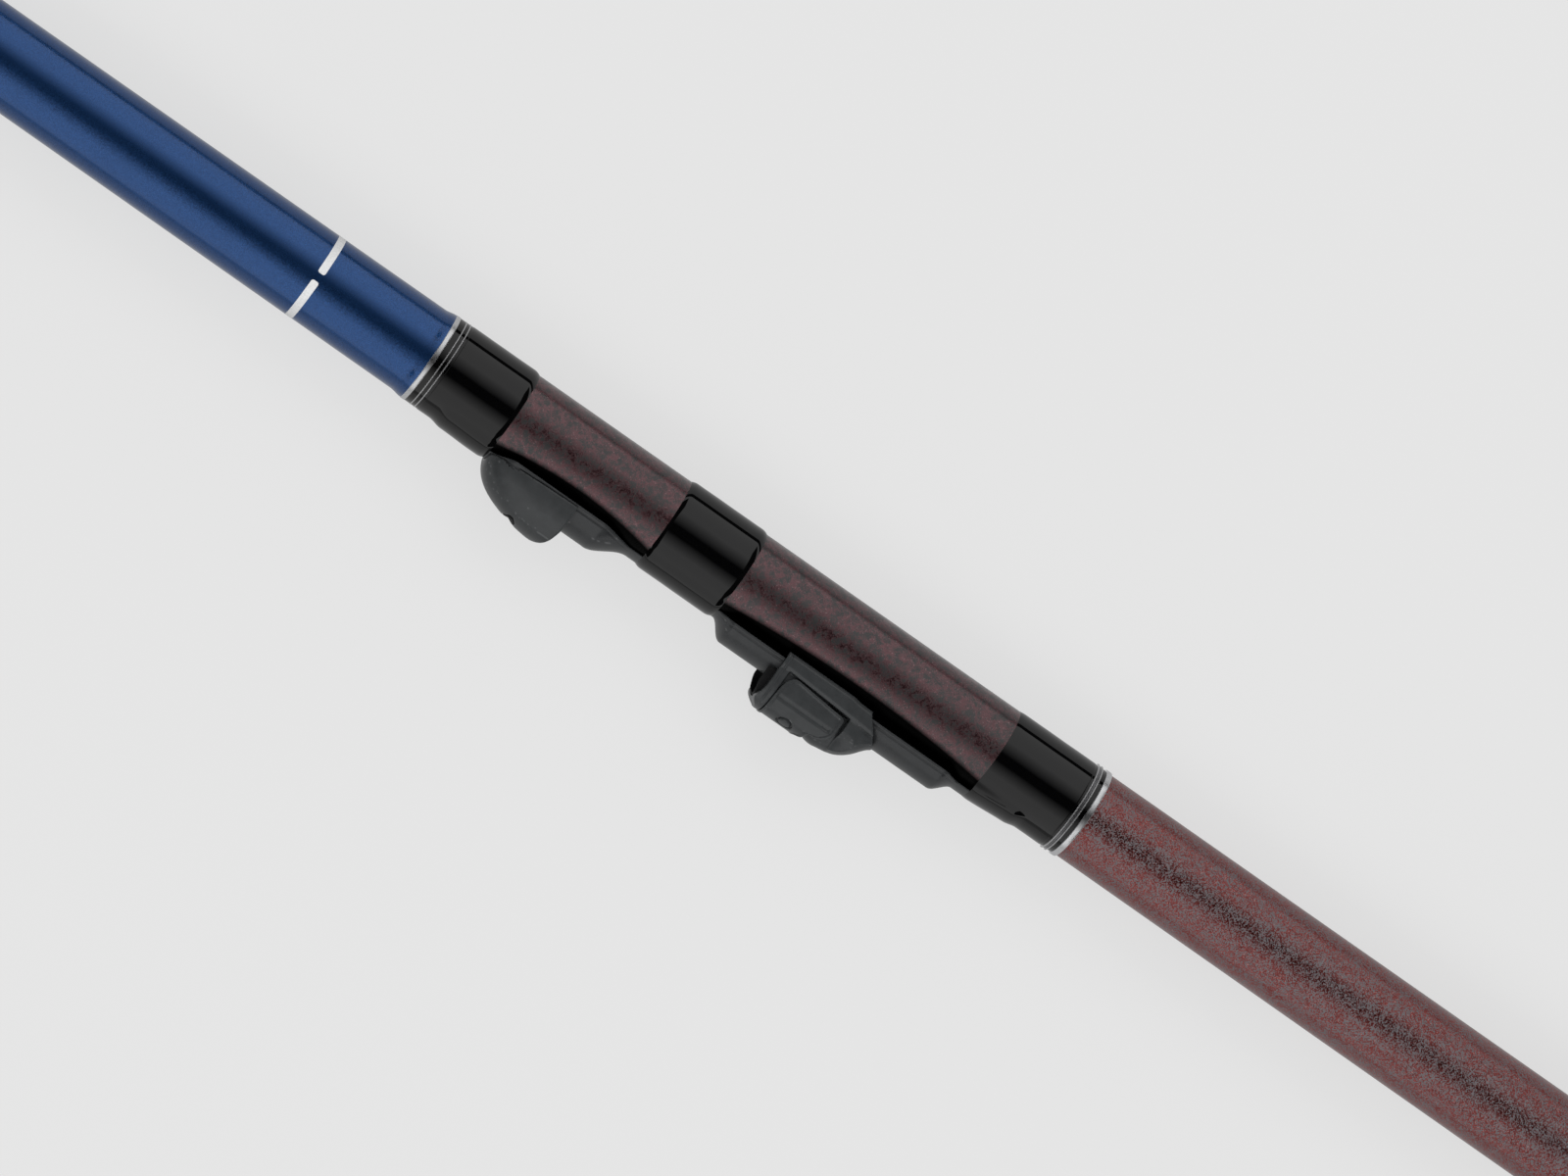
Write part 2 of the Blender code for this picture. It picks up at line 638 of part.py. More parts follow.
def make_fixed_hood_liner(material, body):
    liner = piece(
        "fixed_hood_liner",
        fixed_pocket(LINER_GAP, FIXED_POCKET_END - LINER_GAP),
        material,
        body,
    )
    hollow = fixed_pocket(LINER_GAP + LINER_WALL, FIXED_POCKET_END - LINER_GAP - LINER_WALL)
    combine(liner, hollow, "DIFFERENCE")
    combine(liner, front_plate_clearance(2.0 * WOUND_GAP), "DIFFERENCE")
    combine(liner, fixed_mouth_cutter(HOOD_WALL), "DIFFERENCE")
    combine(liner, peg(FIXED_NUB, *FIXED_NUB_SPAN, FIXED_NUB_RADIUS), "UNION")


# Sliding hood


def mirrored_loop(ahead, half, crown):
    """A closed loop across the rod from its right half of (across, height) points."""
    x = SEAT_DATUM + ahead
    right = [(x, height, across) for across, height in half]
    left = [(x, height, -across) for across, height in reversed(half)]
    return right + [(x, crown, 0.0)] + left


def cup_arch(half_width, crown, steps=7):
    """The right half of the cup's arch, from its springing line up to just before the crown."""
    power = 2.0 / CUP_FULLNESS
    half = []
    for i in range(steps):
        angle = math.pi / 2.0 * i / steps
        height = CUP_SPRING + (crown - CUP_SPRING) * math.sin(angle) ** power
        half.append((half_width * math.cos(angle) ** power, height))
    return half


def cup_loop(ahead, bottom, half_width, crown):
    """A closed loop across the rod: straight sides under the cup's arch."""
    return mirrored_loop(ahead, [(half_width, bottom)] + cup_arch(half_width, crown), crown)


def hood_loop(ahead, bottom, skirt, cup, crown):
    """A closed loop across the rod: skirts at the plate's edges, shoulders, and the cup's arch."""
    half = [
        (skirt - SKIRT_CORNER, bottom),
        (skirt, bottom + SKIRT_CORNER),
        (skirt, SHOULDER - SKIRT_CORNER),
        (skirt - SKIRT_CORNER / 2.0, SHOULDER),
        (cup, SHOULDER + 0.2 * MM),
    ]
    return mirrored_loop(ahead, half + cup_arch(cup, crown), crown)


def sliding_hood_rows():
    """Distance, skirt bottom, skirt and cup half widths and crown, from the front to the rear."""
    recess = LEVER_WALL + LEVER_GAP
    slim_cup = CUP_HALF_WIDTH - recess
    slim_crown = SLIDING_CROWN - recess
    barrel_cup = slim_cup - BARREL_INSET
    recess_front = LEVER_FRONT + LEVER_GAP
    rows = [
        (SLIDING_MOUTH + 2.0 * MM, 0.0, CUP_HALF_WIDTH, SLIDING_CROWN),
        (recess_front + STEP_WIDTH, 0.0, CUP_HALF_WIDTH, SLIDING_CROWN),
        (recess_front, 0.0, slim_cup, slim_crown),
        (LEVER_CROWN_REAR, 0.0, slim_cup, slim_crown),
    ]
    for ahead_of_pin in (1.2 * MM, 0.0, -1.3 * MM):
        crown = PIN_HEIGHT + math.sqrt(BARREL_RADIUS**2 - ahead_of_pin**2)
        rows.append((PIN_PLACE + ahead_of_pin, 0.0, barrel_cup, crown))
    eye_rear = PIN_PLACE - LEVER_EYE_RADIUS - LEVER_GAP
    heel_crown = SLIDING_CROWN - 0.9 * MM
    rows += [
        (eye_rear, 0.3 * MM, barrel_cup, heel_crown),
        (eye_rear - STEP_WIDTH, 0.3 * MM, CUP_HALF_WIDTH - 0.1 * MM, heel_crown),
    ]
    for ahead, lift, narrower, lower in HEEL_SHAPE:
        rows.append(
            (SLIDING_REAR + ahead * MM, lift * MM, CUP_HALF_WIDTH - narrower * MM, SLIDING_CROWN - lower * MM)
        )
    return [(ahead, SKIRT_BOTTOM + lift, SKIRT_HALF_WIDTH, cup, crown) for ahead, lift, cup, crown in rows]


def plate_channel():
    """The slot that the rear plate runs in: over its face, round its edges, open to the blank."""
    radius = PLATE_RADIUS + RUNNING_GAP
    centre = REAR_PLATE_CROWN - PLATE_RADIUS
    channel_edge = REAR_PLATE_HALF_WIDTH + RUNNING_GAP
    edge_angle = math.atan2(channel_edge, REAR_PLATE_EDGE - centre)
    underside = REAR_PLATE_EDGE - PLATE_THICKNESS * math.cos(edge_angle)
    lip_top = underside - RUNNING_GAP
    lip_tip = REAR_PLATE_HALF_WIDTH - LIP_REACH
    half = [
        (lip_tip, SKIRT_BOTTOM - CUTTER_REACH),
        (lip_tip, lip_top - 0.2 * MM),
        (channel_edge, lip_top),
        (channel_edge, REAR_PLATE_EDGE),
    ]
    steps = 8
    for i in range(1, steps):
        angle = edge_angle * (1.0 - i / steps)
        half.append((radius * math.sin(angle), centre + radius * math.cos(angle)))
    ends = (SLIDING_REAR - CUTTER_REACH, SLIDING_MOUTH + CUTTER_REACH)
    return loft([mirrored_loop(ahead, half, centre + radius) for ahead in ends])


def sliding_pocket(inset, end):
    """The space inside the sliding hood's cup, down to its blind end."""
    slim = LEVER_WALL + LEVER_GAP + HOOD_WALL + inset
    crown = SLIDING_CROWN - slim
    wide = CUP_HALF_WIDTH - slim
    base = REAR_PLATE_CROWN - 5.0 * MM
    rows = [
        (SLIDING_MOUTH + CUTTER_REACH, wide, base, crown),
        (end + 6.0 * MM, wide, base, crown),
        (end, wide - 0.8 * MM, base, crown - 0.9 * MM),
    ]
    return loft([cup_loop(ahead, base, half_width, top) for ahead, half_width, base, top in rows])


def sliding_front_cutter(inset):
    """Shapes the front of the sliding hood: square skirts, and the lip of the cup."""
    skirt = SLIDING_SKIRT_FRONT - inset
    mouth = SLIDING_MOUTH - inset
    outline = [
        (skirt, 0.0),
        (skirt, REAR_PLATE_CROWN - 0.5 * MM),
        (mouth, REAR_PLATE_CROWN + 0.1 * MM),
        (mouth, REAR_PLATE_CROWN + 2.2 * MM),
        (mouth - 0.5 * MM, SLIDING_CROWN - 2.4 * MM),
        (mouth - 1.2 * MM, SLIDING_CROWN - 0.9 * MM),
        (mouth - 2.2 * MM, SLIDING_CROWN + 0.2 * MM),
        (mouth - 2.2 * MM, SLIDING_CROWN + CUTTER_REACH),
        (mouth + 2.0 * CUTTER_REACH, SLIDING_CROWN + CUTTER_REACH),
        (mouth + 2.0 * CUTTER_REACH, 0.0),
    ]
    return prism(outline, CUTTER_HALF_DEPTH)


def sliding_rear_cutter():
    """Rakes the rear of the sliding hood from its skirts up to its heel."""
    outline = [
        (SLIDING_SKIRT_REAR, 0.0),
        (SLIDING_SKIRT_REAR, SKIRT_BOTTOM + 1.0 * MM),
        (SLIDING_REAR + 2.4 * MM, SHOULDER - 0.3 * MM),
        (SLIDING_REAR, REAR_PLATE_CROWN + RUNNING_GAP),
        (SLIDING_REAR, SLIDING_CROWN),
        (SLIDING_REAR - CUTTER_REACH, SLIDING_CROWN),
        (SLIDING_REAR - CUTTER_REACH, 0.0),
    ]
    return prism(outline, CUTTER_HALF_DEPTH)


def pin_hole():
    return cross_pin(PIN_PLACE, PIN_HEIGHT, PIN_RADIUS + WOUND_GAP, CUTTER_HALF_DEPTH)


def make_sliding_hood(material, body):
    loops = [hood_loop(*row) for row in sliding_hood_rows()]
    hood = piece("sliding_hood", loft(loops), material, body)
    combine(hood, plate_channel(), "DIFFERENCE")
    combine(hood, sliding_pocket(0.0, SLIDING_POCKET_END), "DIFFERENCE")
    combine(hood, sliding_front_cutter(0.0), "DIFFERENCE")
    combine(hood, sliding_rear_cutter(), "DIFFERENCE")
    combine(hood, pin_hole(), "DIFFERENCE")
    nub_hole = peg(
        SLIDING_NUB, PIN_HEIGHT, SLIDING_CROWN + CUTTER_REACH, SLIDING_NUB_RADIUS + LINER_GAP
    )
    combine(hood, nub_hole, "DIFFERENCE")


def make_sliding_hood_liner(material, body):
    liner = piece(
        "sliding_hood_liner",
        sliding_pocket(LINER_GAP, SLIDING_POCKET_END + LINER_GAP),
        material,
        body,
    )
    hollow = sliding_pocket(LINER_GAP + LINER_WALL, SLIDING_POCKET_END + LINER_GAP + LINER_WALL)
    combine(liner, hollow, "DIFFERENCE")
    whole_length = (SLIDING_REAR, SLIDING_MOUTH + CUTTER_REACH)
    clearance = plate_clearance(whole_length, (1.0 * MM, 1.0 * MM), REAR_PLATE_CROWN, RUNNING_GAP + WOUND_GAP)
    combine(liner, clearance, "DIFFERENCE")
    combine(liner, sliding_front_cutter(HOOD_WALL), "DIFFERENCE")
    nub_top = SLIDING_CROWN - LEVER_WALL - LEVER_GAP - 0.05 * MM
    nub_root = nub_top - HOOD_WALL - LINER_GAP - LINER_WALL / 2.0
    combine(liner, peg(SLIDING_NUB, nub_root, nub_top, SLIDING_NUB_RADIUS), "UNION")


def make_lever_pin(material, body):
    half_length = CUP_HALF_WIDTH - 0.1 * MM
    piece("lever_pin", cross_pin(PIN_PLACE, PIN_HEIGHT, PIN_RADIUS, half_length), material, body)


def lever_side_outline():
    """The lever seen from the side: rounded front corner, round eye at the pin, open crown behind."""
    front, bottom = LEVER_FRONT, LEVER_BOTTOM
    top = SLIDING_CROWN + 2.0 * MM
    outline = [
        (front, top),
        (front, bottom + LEVER_CORNER),
        (front - 0.3 * LEVER_CORNER, bottom + 0.3 * LEVER_CORNER),
        (front - LEVER_CORNER, bottom),
    ]
    for degrees in range(-80, -281, -25):
        angle = math.radians(degrees)
        outline.append(
            (PIN_PLACE + LEVER_EYE_RADIUS * math.cos(angle), PIN_HEIGHT + LEVER_EYE_RADIUS * math.sin(angle))
        )
    outline += [(LEVER_CROWN_REAR, PIN_HEIGHT + LEVER_EYE_RADIUS + 0.2 * MM), (LEVER_CROWN_REAR, top)]
    return outline


def make_lock_lever(material, body):
    ends = (PIN_PLACE - CUTTER_REACH, LEVER_FRONT + CUTTER_REACH)
    shell = [cup_loop(ahead, LEVER_BOTTOM - 1.0 * MM, CUP_HALF_WIDTH, SLIDING_CROWN) for ahead in ends]
    lever = piece("lock_lever", loft(shell), material, body)
    inner = (LEVER_BOTTOM - 2.0 * MM, CUP_HALF_WIDTH - LEVER_WALL, SLIDING_CROWN - LEVER_WALL)
    hollow = [cup_loop(ends[0] - 2.0 * MM, *inner), cup_loop(ends[1] + 2.0 * MM, *inner)]
    combine(lever, loft(hollow), "DIFFERENCE")
    combine(lever, prism(lever_side_outline(), CUTTER_HALF_DEPTH), "INTERSECT")
    combine(lever, pin_hole(), "DIFFERENCE")


# Butt cap


def make_butt_cap(material, body):
    """Fluted cap with a screw plug; the pad's recess is open to the back."""
    back, front = PAD_PROUD, PAD_PROUD + CAP_LENGTH
    count = CAP_FLUTES * 3
    rear_rim = [(back, CAP_CHAMFER), (back + CAP_CHAMFER, 0.0)]
    front_rim = [(front - CAP_CHAMFER, 0.0), (front, CAP_CHAMFER)]
    loops = []
    for x, shrink in rear_rim + front_rim:
        loop = []
        for i in range(count):
            angle = math.tau * i / count
            radius = CAP_RADIUS - shrink - (FLUTE_DEPTH if i % 3 == 2 else 0.0)
            loop.append((x, radius * math.cos(angle), radius * math.sin(angle)))
        loops.append(loop)
    cap = piece("butt_cap", loft(loops), material, body)
    recess_end = back + PAD_THICKNESS
    recess_start = back - CUTTER_REACH
    recess_radius = PAD_RADIUS + WOUND_GAP
    recess_side = [(recess_start, recess_radius), (recess_end, recess_radius)]
    recess = turned([(recess_start, 0.0), *recess_side, (recess_end, 0.0)], BLANK_SIDES)
    combine(cap, recess, "DIFFERENCE")
    combine(cap, screw_plug(front), "UNION")


def screw_plug(front):
    """The plug's core and its helical thread, as one surface whose radius follows the helix."""
    crest = socket_bore() - WOUND_GAP
    root = crest - THREAD_HEIGHT
    start = front - THREAD_END
    end = socket_end() - CUSHION_THICKNESS - WOUND_GAP
    thread_start = end - THREAD_TURNS * THREAD_PITCH - THREAD_END
    sides, per_turn = 16, 4
    stations = [start, thread_start]
    count = THREAD_TURNS * per_turn
    stations += [thread_start + THREAD_PITCH * (i + 1) / per_turn for i in range(count)]
    stations.append(end)
    loops = []
    for x in stations:
        threaded = thread_start < x < end
        loop = []
        for i in range(sides):
            angle = math.tau * i / sides
            turn = (x - thread_start) / THREAD_PITCH - i / sides
            ridge = 0.5 + 0.5 * math.cos(math.tau * turn)
            radius = root + (THREAD_HEIGHT * ridge if threaded else 0.0)
            loop.append((x, radius * math.cos(angle), radius * math.sin(angle)))
        loops.append(loop)
    return loft(loops)


def make_butt_pad(material, body):
    end = PAD_PROUD + PAD_THICKNESS - GAP
    rounding = [(0.0, PAD_RADIUS - PAD_ROUNDING), (PAD_ROUNDING, PAD_RADIUS)]
    profile = [(0.0, 0.0), *rounding, (end, PAD_RADIUS), (end, 0.0)]
    piece("butt_pad", turned(profile, BLANK_SIDES), material, body)


def make_cap_cushion(material, body):
    end = socket_end()
    start = end - CUSHION_THICKNESS
    radius = socket_bore() - WOUND_GAP - THREAD_HEIGHT
    profile = [(start, 0.0), (start, radius), (end, radius), (end, 0.0)]
    piece("cap_cushion", turned(profile, BLANK_SIDES), material, body)


def make_cap_washer(material, body):
    start = PAD_PROUD + CAP_LENGTH + GAP
    inner = socket_bore() + WOUND_GAP
    washer = tube(start, start + WASHER_THICKNESS, inner, CAP_RADIUS - WASHER_INSET, BLANK_SIDES)
    piece("cap_washer", washer, material, body)


# Sections and line guides


def section_radii(number):
    """Base and front radii of a section. The taper is what walls, gaps and the tip leave of the bore."""
    mouth_bore = blank_radius(BUTT_LENGTH) - BLANK_WALL
    walls = sum(size["wall"] * MM for size in SECTIONS.values())
    gaps = (len(SECTIONS) + 1) * SLIP_GAP
    whole_taper = mouth_bore - TIP_BASE_RADIUS - walls - gaps
    base = mouth_bore - SLIP_GAP
    for before in range(min(SECTIONS), number):
        size = SECTIONS[before]
        base -= whole_taper * size["taper_share"] + size["wall"] * MM + SLIP_GAP
    return base, base - whole_taper * SECTIONS[number]["taper_share"]


def section_front(number):
    """The place of a closed section's front end; the one before the first is the butt."""
    if number < min(SECTIONS):
        return BUTT_LENGTH
    step = SECTION_REST_GAP + STOP_WINDING + GAP + SECTIONS[number]["sleeve"] * MM
    return section_front(number - 1) + step


def section_travel(number):
    """How far a section slides out before it wedges in the one behind it."""
    overlap = SECTIONS[number]["overlap"] * MM if number in SECTIONS else TIP_OVERLAP
    return section_front(number - 1) - overlap - section_base()


def tip_front():
    floats = 2.0 * (FLOAT_SLEEVE + FLOAT_SPACING)
    return section_front(LAST_SECTION) + floats + FLOAT_SPACING + TIP_TOP_SLEEVE


def strut(low, high, half_width, half_length):
    """A straight leg of a guide frame between two points, with a flat section."""
    loops = []
    for x, y, z in (low, high):
        loops.append(
            [(x + u * half_length, y, z + v * half_width) for u, v in ((-1, -1), (1, -1), (1, 1), (-1, 1))]
        )
    return loft(loops)


def make_guide(frame_name, ring_name, start, sleeve, bore, ring, sides, finishes, body):
    """A guide: a sleeve on the blank, three legs, a rim, and the ceramic ring in the rim."""
    sleeve_outer = bore + SLEEVE_WALL
    bore_radius = ring["bore"] * MM
    ring_radius = bore_radius + ring["wall"] * MM
    rim_inner = ring_radius + WOUND_GAP
    rim_outer = rim_inner + FRAME_RIM
    middle = start + sleeve * RING_PLACE
    height = sleeve_outer + ring["leg"] * MM + rim_outer
    frame = piece(frame_name, tube(start, start + sleeve, bore, sleeve_outer, sides), finishes["frame"], body)
    half_rim = FRAME_WIDTH / 2.0
    rim = tube(middle - half_rim, middle + half_rim, rim_inner, rim_outer, RING_SIDES, (height, 0.0))
    foot_y = bore + SLEEVE_WALL * 0.5
    front_half_width = min(FRONT_LEG_WIDTH / 2.0, bore * 0.6)
    half_sheet = FRAME_SHEET / 2.0
    front_top = (middle, height - rim_outer + FRAME_RIM * 0.5, 0.0)
    combine(frame, strut((middle, foot_y, 0.0), front_top, front_half_width, half_sheet), "UNION")
    rim_middle = (rim_inner + rim_outer) / 2.0
    for side in (-1.0, 1.0):
        low = (start + SIDE_LEG_START, foot_y, side * front_half_width * 0.5)
        high_y = height - rim_middle * math.cos(SIDE_LEG_ANGLE)
        high = (middle, high_y, side * rim_middle * math.sin(SIDE_LEG_ANGLE))
        combine(frame, strut(low, high, SIDE_LEG_WIDTH / 2.0, half_sheet), "UNION")
    combine(frame, rim, "UNION")
    half = RING_WIDTH / 2.0
    profile = [
        (middle - half, ring_radius),
        (middle - half, bore_radius + RING_ROUNDING),
        (middle - half * 0.4, bore_radius),
        (middle + half * 0.4, bore_radius),
        (middle + half, bore_radius + RING_ROUNDING),
        (middle + half, ring_radius),
    ]
    piece(ring_name, turned(profile, RING_SIDES, (height, 0.0)), finishes["ring"], body)


def make_section(number, finishes, body):
    size = SECTIONS[number]
    base, front = section_radii(number)
    wall, sides = size["wall"] * MM, size["sides"]
    start, end = section_base(), section_front(number)
    blank = tube(start, end, (base - wall, front - wall), (base, front), sides)
    piece(f"section_{number}_blank", blank, finishes["blank"], body)
    winding = section_front(number - 1) + SECTION_REST_GAP
    inner = front + WOUND_GAP
    piece(
        f"section_{number}_stop_winding",
        tube(winding, winding + STOP_WINDING, inner, inner + WINDING_WALL, sides),
        finishes["winding"],
        body,
    )
    make_guide(
        f"section_{number}_guide_frame",
        f"section_{number}_guide_ring",
        winding + STOP_WINDING + GAP,
        size["sleeve"] * MM,
        inner,
        RINGS[number],
        sides,
        finishes,
        body,
    )


def make_tip(finishes, body, lower_float, upper_float):
    start, end = section_base(), tip_front()
    profile = [(start, 0.0), (start, TIP_BASE_RADIUS), (end, TIP_FRONT_RADIUS), (end, 0.0)]
    piece("tip_blank", turned(profile, TIP_SIDES), finishes["blank"], body)
    place = section_front(LAST_SECTION) + FLOAT_SPACING
    make_guide(
        "lower_float_frame", "lower_float_ring", place, FLOAT_SLEEVE, LOWER_FLOAT_BORE,
        LOWER_FLOAT_RING, TIP_SIDES, finishes, lower_float,
    )
    place += FLOAT_SLEEVE + FLOAT_SPACING
    make_guide(
        "upper_float_frame", "upper_float_ring", place, FLOAT_SLEEVE, UPPER_FLOAT_BORE,
        UPPER_FLOAT_RING, TIP_SIDES, finishes, upper_float,
    )
    place += FLOAT_SLEEVE + FLOAT_SPACING
    make_guide(
        "tip_top_frame", "tip_top_ring", place, TIP_TOP_SLEEVE, TIP_FRONT_RADIUS + WOUND_GAP,
        TIP_TOP_RING, TIP_SIDES, finishes, body,
    )


def make_mouth_band(material, body):
    end = BUTT_LENGTH
    start = end - MOUTH_BAND
    inner = blank_radius(start) + WOUND_GAP
    piece("butt_mouth_band", tube(start, end, inner, inner + BAND_THICKNESS, BLANK_SIDES), material, body)


def main():
    clear_scene()
    maroon = finish("maroon_flake_blank", (0.12, 0.045, 0.045), 0.25, 0.3)
    blue = finish("blue_blank", (0.02, 0.06, 0.16), 0.15, 0.5)
    silver = finish("silver_band", (0.75, 0.76, 0.78), 0.25, 1.0)
    thread = finish("silver_thread", (0.55, 0.56, 0.58), 0.45, 0.6)
    black = finish("black_whipping", (0.02, 0.021, 0.022), 0.12)
    plate = finish("black_plate", (0.05, 0.052, 0.055), 0.35, 0.4)
    hood = finish("black_hood", (0.06, 0.063, 0.066), 0.4, 0.2)
    liner = finish("hood_liner", (0.02, 0.02, 0.02), 0.7)
    steel = finish("steel_pin", (0.3, 0.3, 0.31), 0.3, 1.0)
    cap = finish("cap_metal", (0.05, 0.05, 0.055), 0.3, 0.9)
    rubber = finish("rubber", (0.015, 0.015, 0.015), 0.8)
    frame = finish("guide_frame", (0.1, 0.1, 0.11), 0.3, 0.9)
    ceramic = finish("guide_ceramic", (0.02, 0.02, 0.022), 0.1)
    finishes = {"blank": blue, "winding": black, "frame": frame, "ring": ceramic}

    root = body_frame("rod_axis", (0.0, 0.0, 0.0))
    make_butt_blank(maroon, root)
    make_thread_socket(cap, root)
    make_mouth_band(silver, root)
    make_band("rear_silver_ring", REAR_SILVER, silver, root)
    make_band("rear_accent_thread", REAR_ACCENT, thread, root)
    make_whipping("rear_whipping", REAR_WHIPPING, (REAR_PLATE_ENDS[0], -1.0), black, root)
    make_plate(
        "rear_seat_plate", REAR_PLATE_ENDS, REAR_PLATE_FLAT, REAR_PLATE_RAMPS,
        (SLIDING_MOUTH + GAP, REAR_PLATE_FLAT[1]),
        REAR_PLATE_CROWN, REAR_PLATE_HALF_WIDTH, REAR_PLATE_EDGE, plate, root,
    )
    make_whipping("middle_whipping", MIDDLE_WHIPPING, None, black, root)
    make_plate(
        "front_seat_plate", FRONT_PLATE_ENDS, FRONT_PLATE_FLAT, FRONT_PLATE_RAMPS,
        (FRONT_PLATE_FLAT[0], FIXED_MOUTH - GAP),
        FRONT_PLATE_CROWN, FRONT_PLATE_HALF_WIDTH, FRONT_PLATE_EDGE, plate, root,
    )
    make_fixed_hood(hood, root)
    make_fixed_hood_liner(liner, root)
    make_whipping("front_whipping", FRONT_WHIPPING, (FRONT_PLATE_ENDS[1], 1.0), black, root)
    make_band("front_accent_thread", FRONT_ACCENT, thread, root)
    make_band("front_silver_ring", FRONT_SILVER, silver, root)

    slider = body_frame("sliding_hood_axis", (SEAT_DATUM + SLIDING_REAR, 0.0, 0.0), root)
    make_sliding_hood(hood, slider)
    make_sliding_hood_liner(liner, slider)
    make_lever_pin(steel, slider)
    lever_axis = body_frame("lever_axis", (SEAT_DATUM + PIN_PLACE, PIN_HEIGHT, 0.0), slider)
    make_lock_lever(hood, lever_axis)

    washer_axis = body_frame("washer_axis", (PAD_PROUD + CAP_LENGTH, 0.0, 0.0), root)
    make_cap_washer(rubber, washer_axis)
    cap_axis = body_frame("cap_axis", (0.0, 0.0, 0.0), washer_axis)
    make_butt_cap(cap, cap_axis)
    make_butt_pad(rubber, cap_axis)
    make_cap_cushion(rubber, cap_axis)

    carrier = root
    for number in SECTIONS:
        carrier = body_frame(f"section_{number}_axis", (section_base(), 0.0, 0.0), carrier)
        make_section(number, finishes, carrier)
        print(f"section {number} slides {section_travel(number) / MM:.1f} mm")
    tip = body_frame("tip_axis", (section_base(), 0.0, 0.0), carrier)
    float_place = (section_front(LAST_SECTION), 0.0, 0.0)
    lower = body_frame("lower_float_axis", float_place, tip)
    upper = body_frame("upper_float_axis", float_place, tip)
    make_tip(finishes, tip, lower, upper)
    travel = sum(section_travel(number) for number in (*SECTIONS, LAST_SECTION + 1))
    print(f"closed {tip_front() / MM:.1f} mm, open {(tip_front() + travel) / MM:.1f} mm")


main()
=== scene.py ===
# %% [markdown]
# A telescopic rod and its reel seat
#
# The rod lies on its side on a pale table: butt end at x = 0, tip towards +X, and the two hoods
# that hold a reel towards +Y. The camera looks down on the reel seat from +Z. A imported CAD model
# gives every size and place and all the moving bodies. Here its plain solids are swapped for
# finely made pieces, and each finish is built from shader nodes.
# We work in millimetres, as a rod builder does, and turn them to metres when a mesh is made.

# %% Load the frame
import json
import math

import bmesh
import bpy
from mathutils import Matrix, Vector


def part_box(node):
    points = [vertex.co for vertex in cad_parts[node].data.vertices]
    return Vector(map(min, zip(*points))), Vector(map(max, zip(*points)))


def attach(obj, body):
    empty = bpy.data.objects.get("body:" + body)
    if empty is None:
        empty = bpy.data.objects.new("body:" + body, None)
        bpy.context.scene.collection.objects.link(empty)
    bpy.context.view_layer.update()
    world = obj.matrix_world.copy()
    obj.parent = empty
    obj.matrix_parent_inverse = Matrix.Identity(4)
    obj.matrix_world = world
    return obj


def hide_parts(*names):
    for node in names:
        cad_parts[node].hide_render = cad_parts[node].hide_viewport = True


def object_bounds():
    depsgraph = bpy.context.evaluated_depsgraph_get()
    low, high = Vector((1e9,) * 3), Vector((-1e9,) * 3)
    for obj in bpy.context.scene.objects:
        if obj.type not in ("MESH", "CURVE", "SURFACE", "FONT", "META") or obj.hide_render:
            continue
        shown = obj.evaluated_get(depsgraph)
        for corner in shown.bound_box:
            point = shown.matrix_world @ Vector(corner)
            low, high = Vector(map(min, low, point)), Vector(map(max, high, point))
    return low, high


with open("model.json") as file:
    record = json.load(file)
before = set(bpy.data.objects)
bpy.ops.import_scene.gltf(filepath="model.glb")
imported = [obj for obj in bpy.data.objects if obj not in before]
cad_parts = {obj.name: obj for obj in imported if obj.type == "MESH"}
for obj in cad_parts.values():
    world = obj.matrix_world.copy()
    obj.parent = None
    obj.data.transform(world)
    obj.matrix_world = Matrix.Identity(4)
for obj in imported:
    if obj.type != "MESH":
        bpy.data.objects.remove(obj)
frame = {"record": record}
cad_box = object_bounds()
MM = 0.001

print("size in mm:", [round(value / MM, 1) for value in cad_box[1] - cad_box[0]])

# %% [markdown]
# Measures taken from the frame
#
# The drawing of a reel seat starts from one line on the blank, its datum, so all places on the
# seat are distances ahead of it. The rest is read from the boxes of the CAD pieces, which
# keeps the fine pieces where the plain ones are.

# %% Read the boxes
SEAT_DATUM = 215.0
BLANK_TAPER = 0.00145


def box(node):
    """Lowest and highest corner of a CAD piece, in mm."""
    low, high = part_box(node)
    return low / MM, high / MM


def span(node):
    """Where a CAD piece starts and ends along the rod, in mm."""
    low, high = box(node)
    return low.x, high.x


BUTT_START, BUTT_END = span("butt_blank")
BUTT_START_RADIUS = box("butt_blank")[1].z


def blank_radius(x):
    return BUTT_START_RADIUS - BLANK_TAPER * (x - BUTT_START)


print(f"butt blank from {BUTT_START:.1f} to {BUTT_END:.1f}, radius {BUTT_START_RADIUS:.2f} mm")

# %% [markdown]
# The camera
#
# The photograph is a catalogue picture: a long lens looks down on the rod, which crosses the
# picture from the upper left to the lower right. The near side of every ring sits a little towards
# the butt, so the camera leans seven degrees to the tip. We build its axes from that lean and the
# rod's slope in the picture, which is safer than turning it by hand.

# %% Set up the camera
VIEW_CENTRE = Vector((298.8, -2.9, 0.0))
VIEW_LEAN = math.radians(7.0)
ROD_SLOPE = math.radians(35.03)
VIEW_WIDTH = 321.5
LENS = 200.0
SENSOR = 36.0


def in_scene(name, data):
    """A new object in the scene for a mesh, a lamp or a camera."""
    obj = bpy.data.objects.new(name, data)
    bpy.context.scene.collection.objects.link(obj)
    return obj


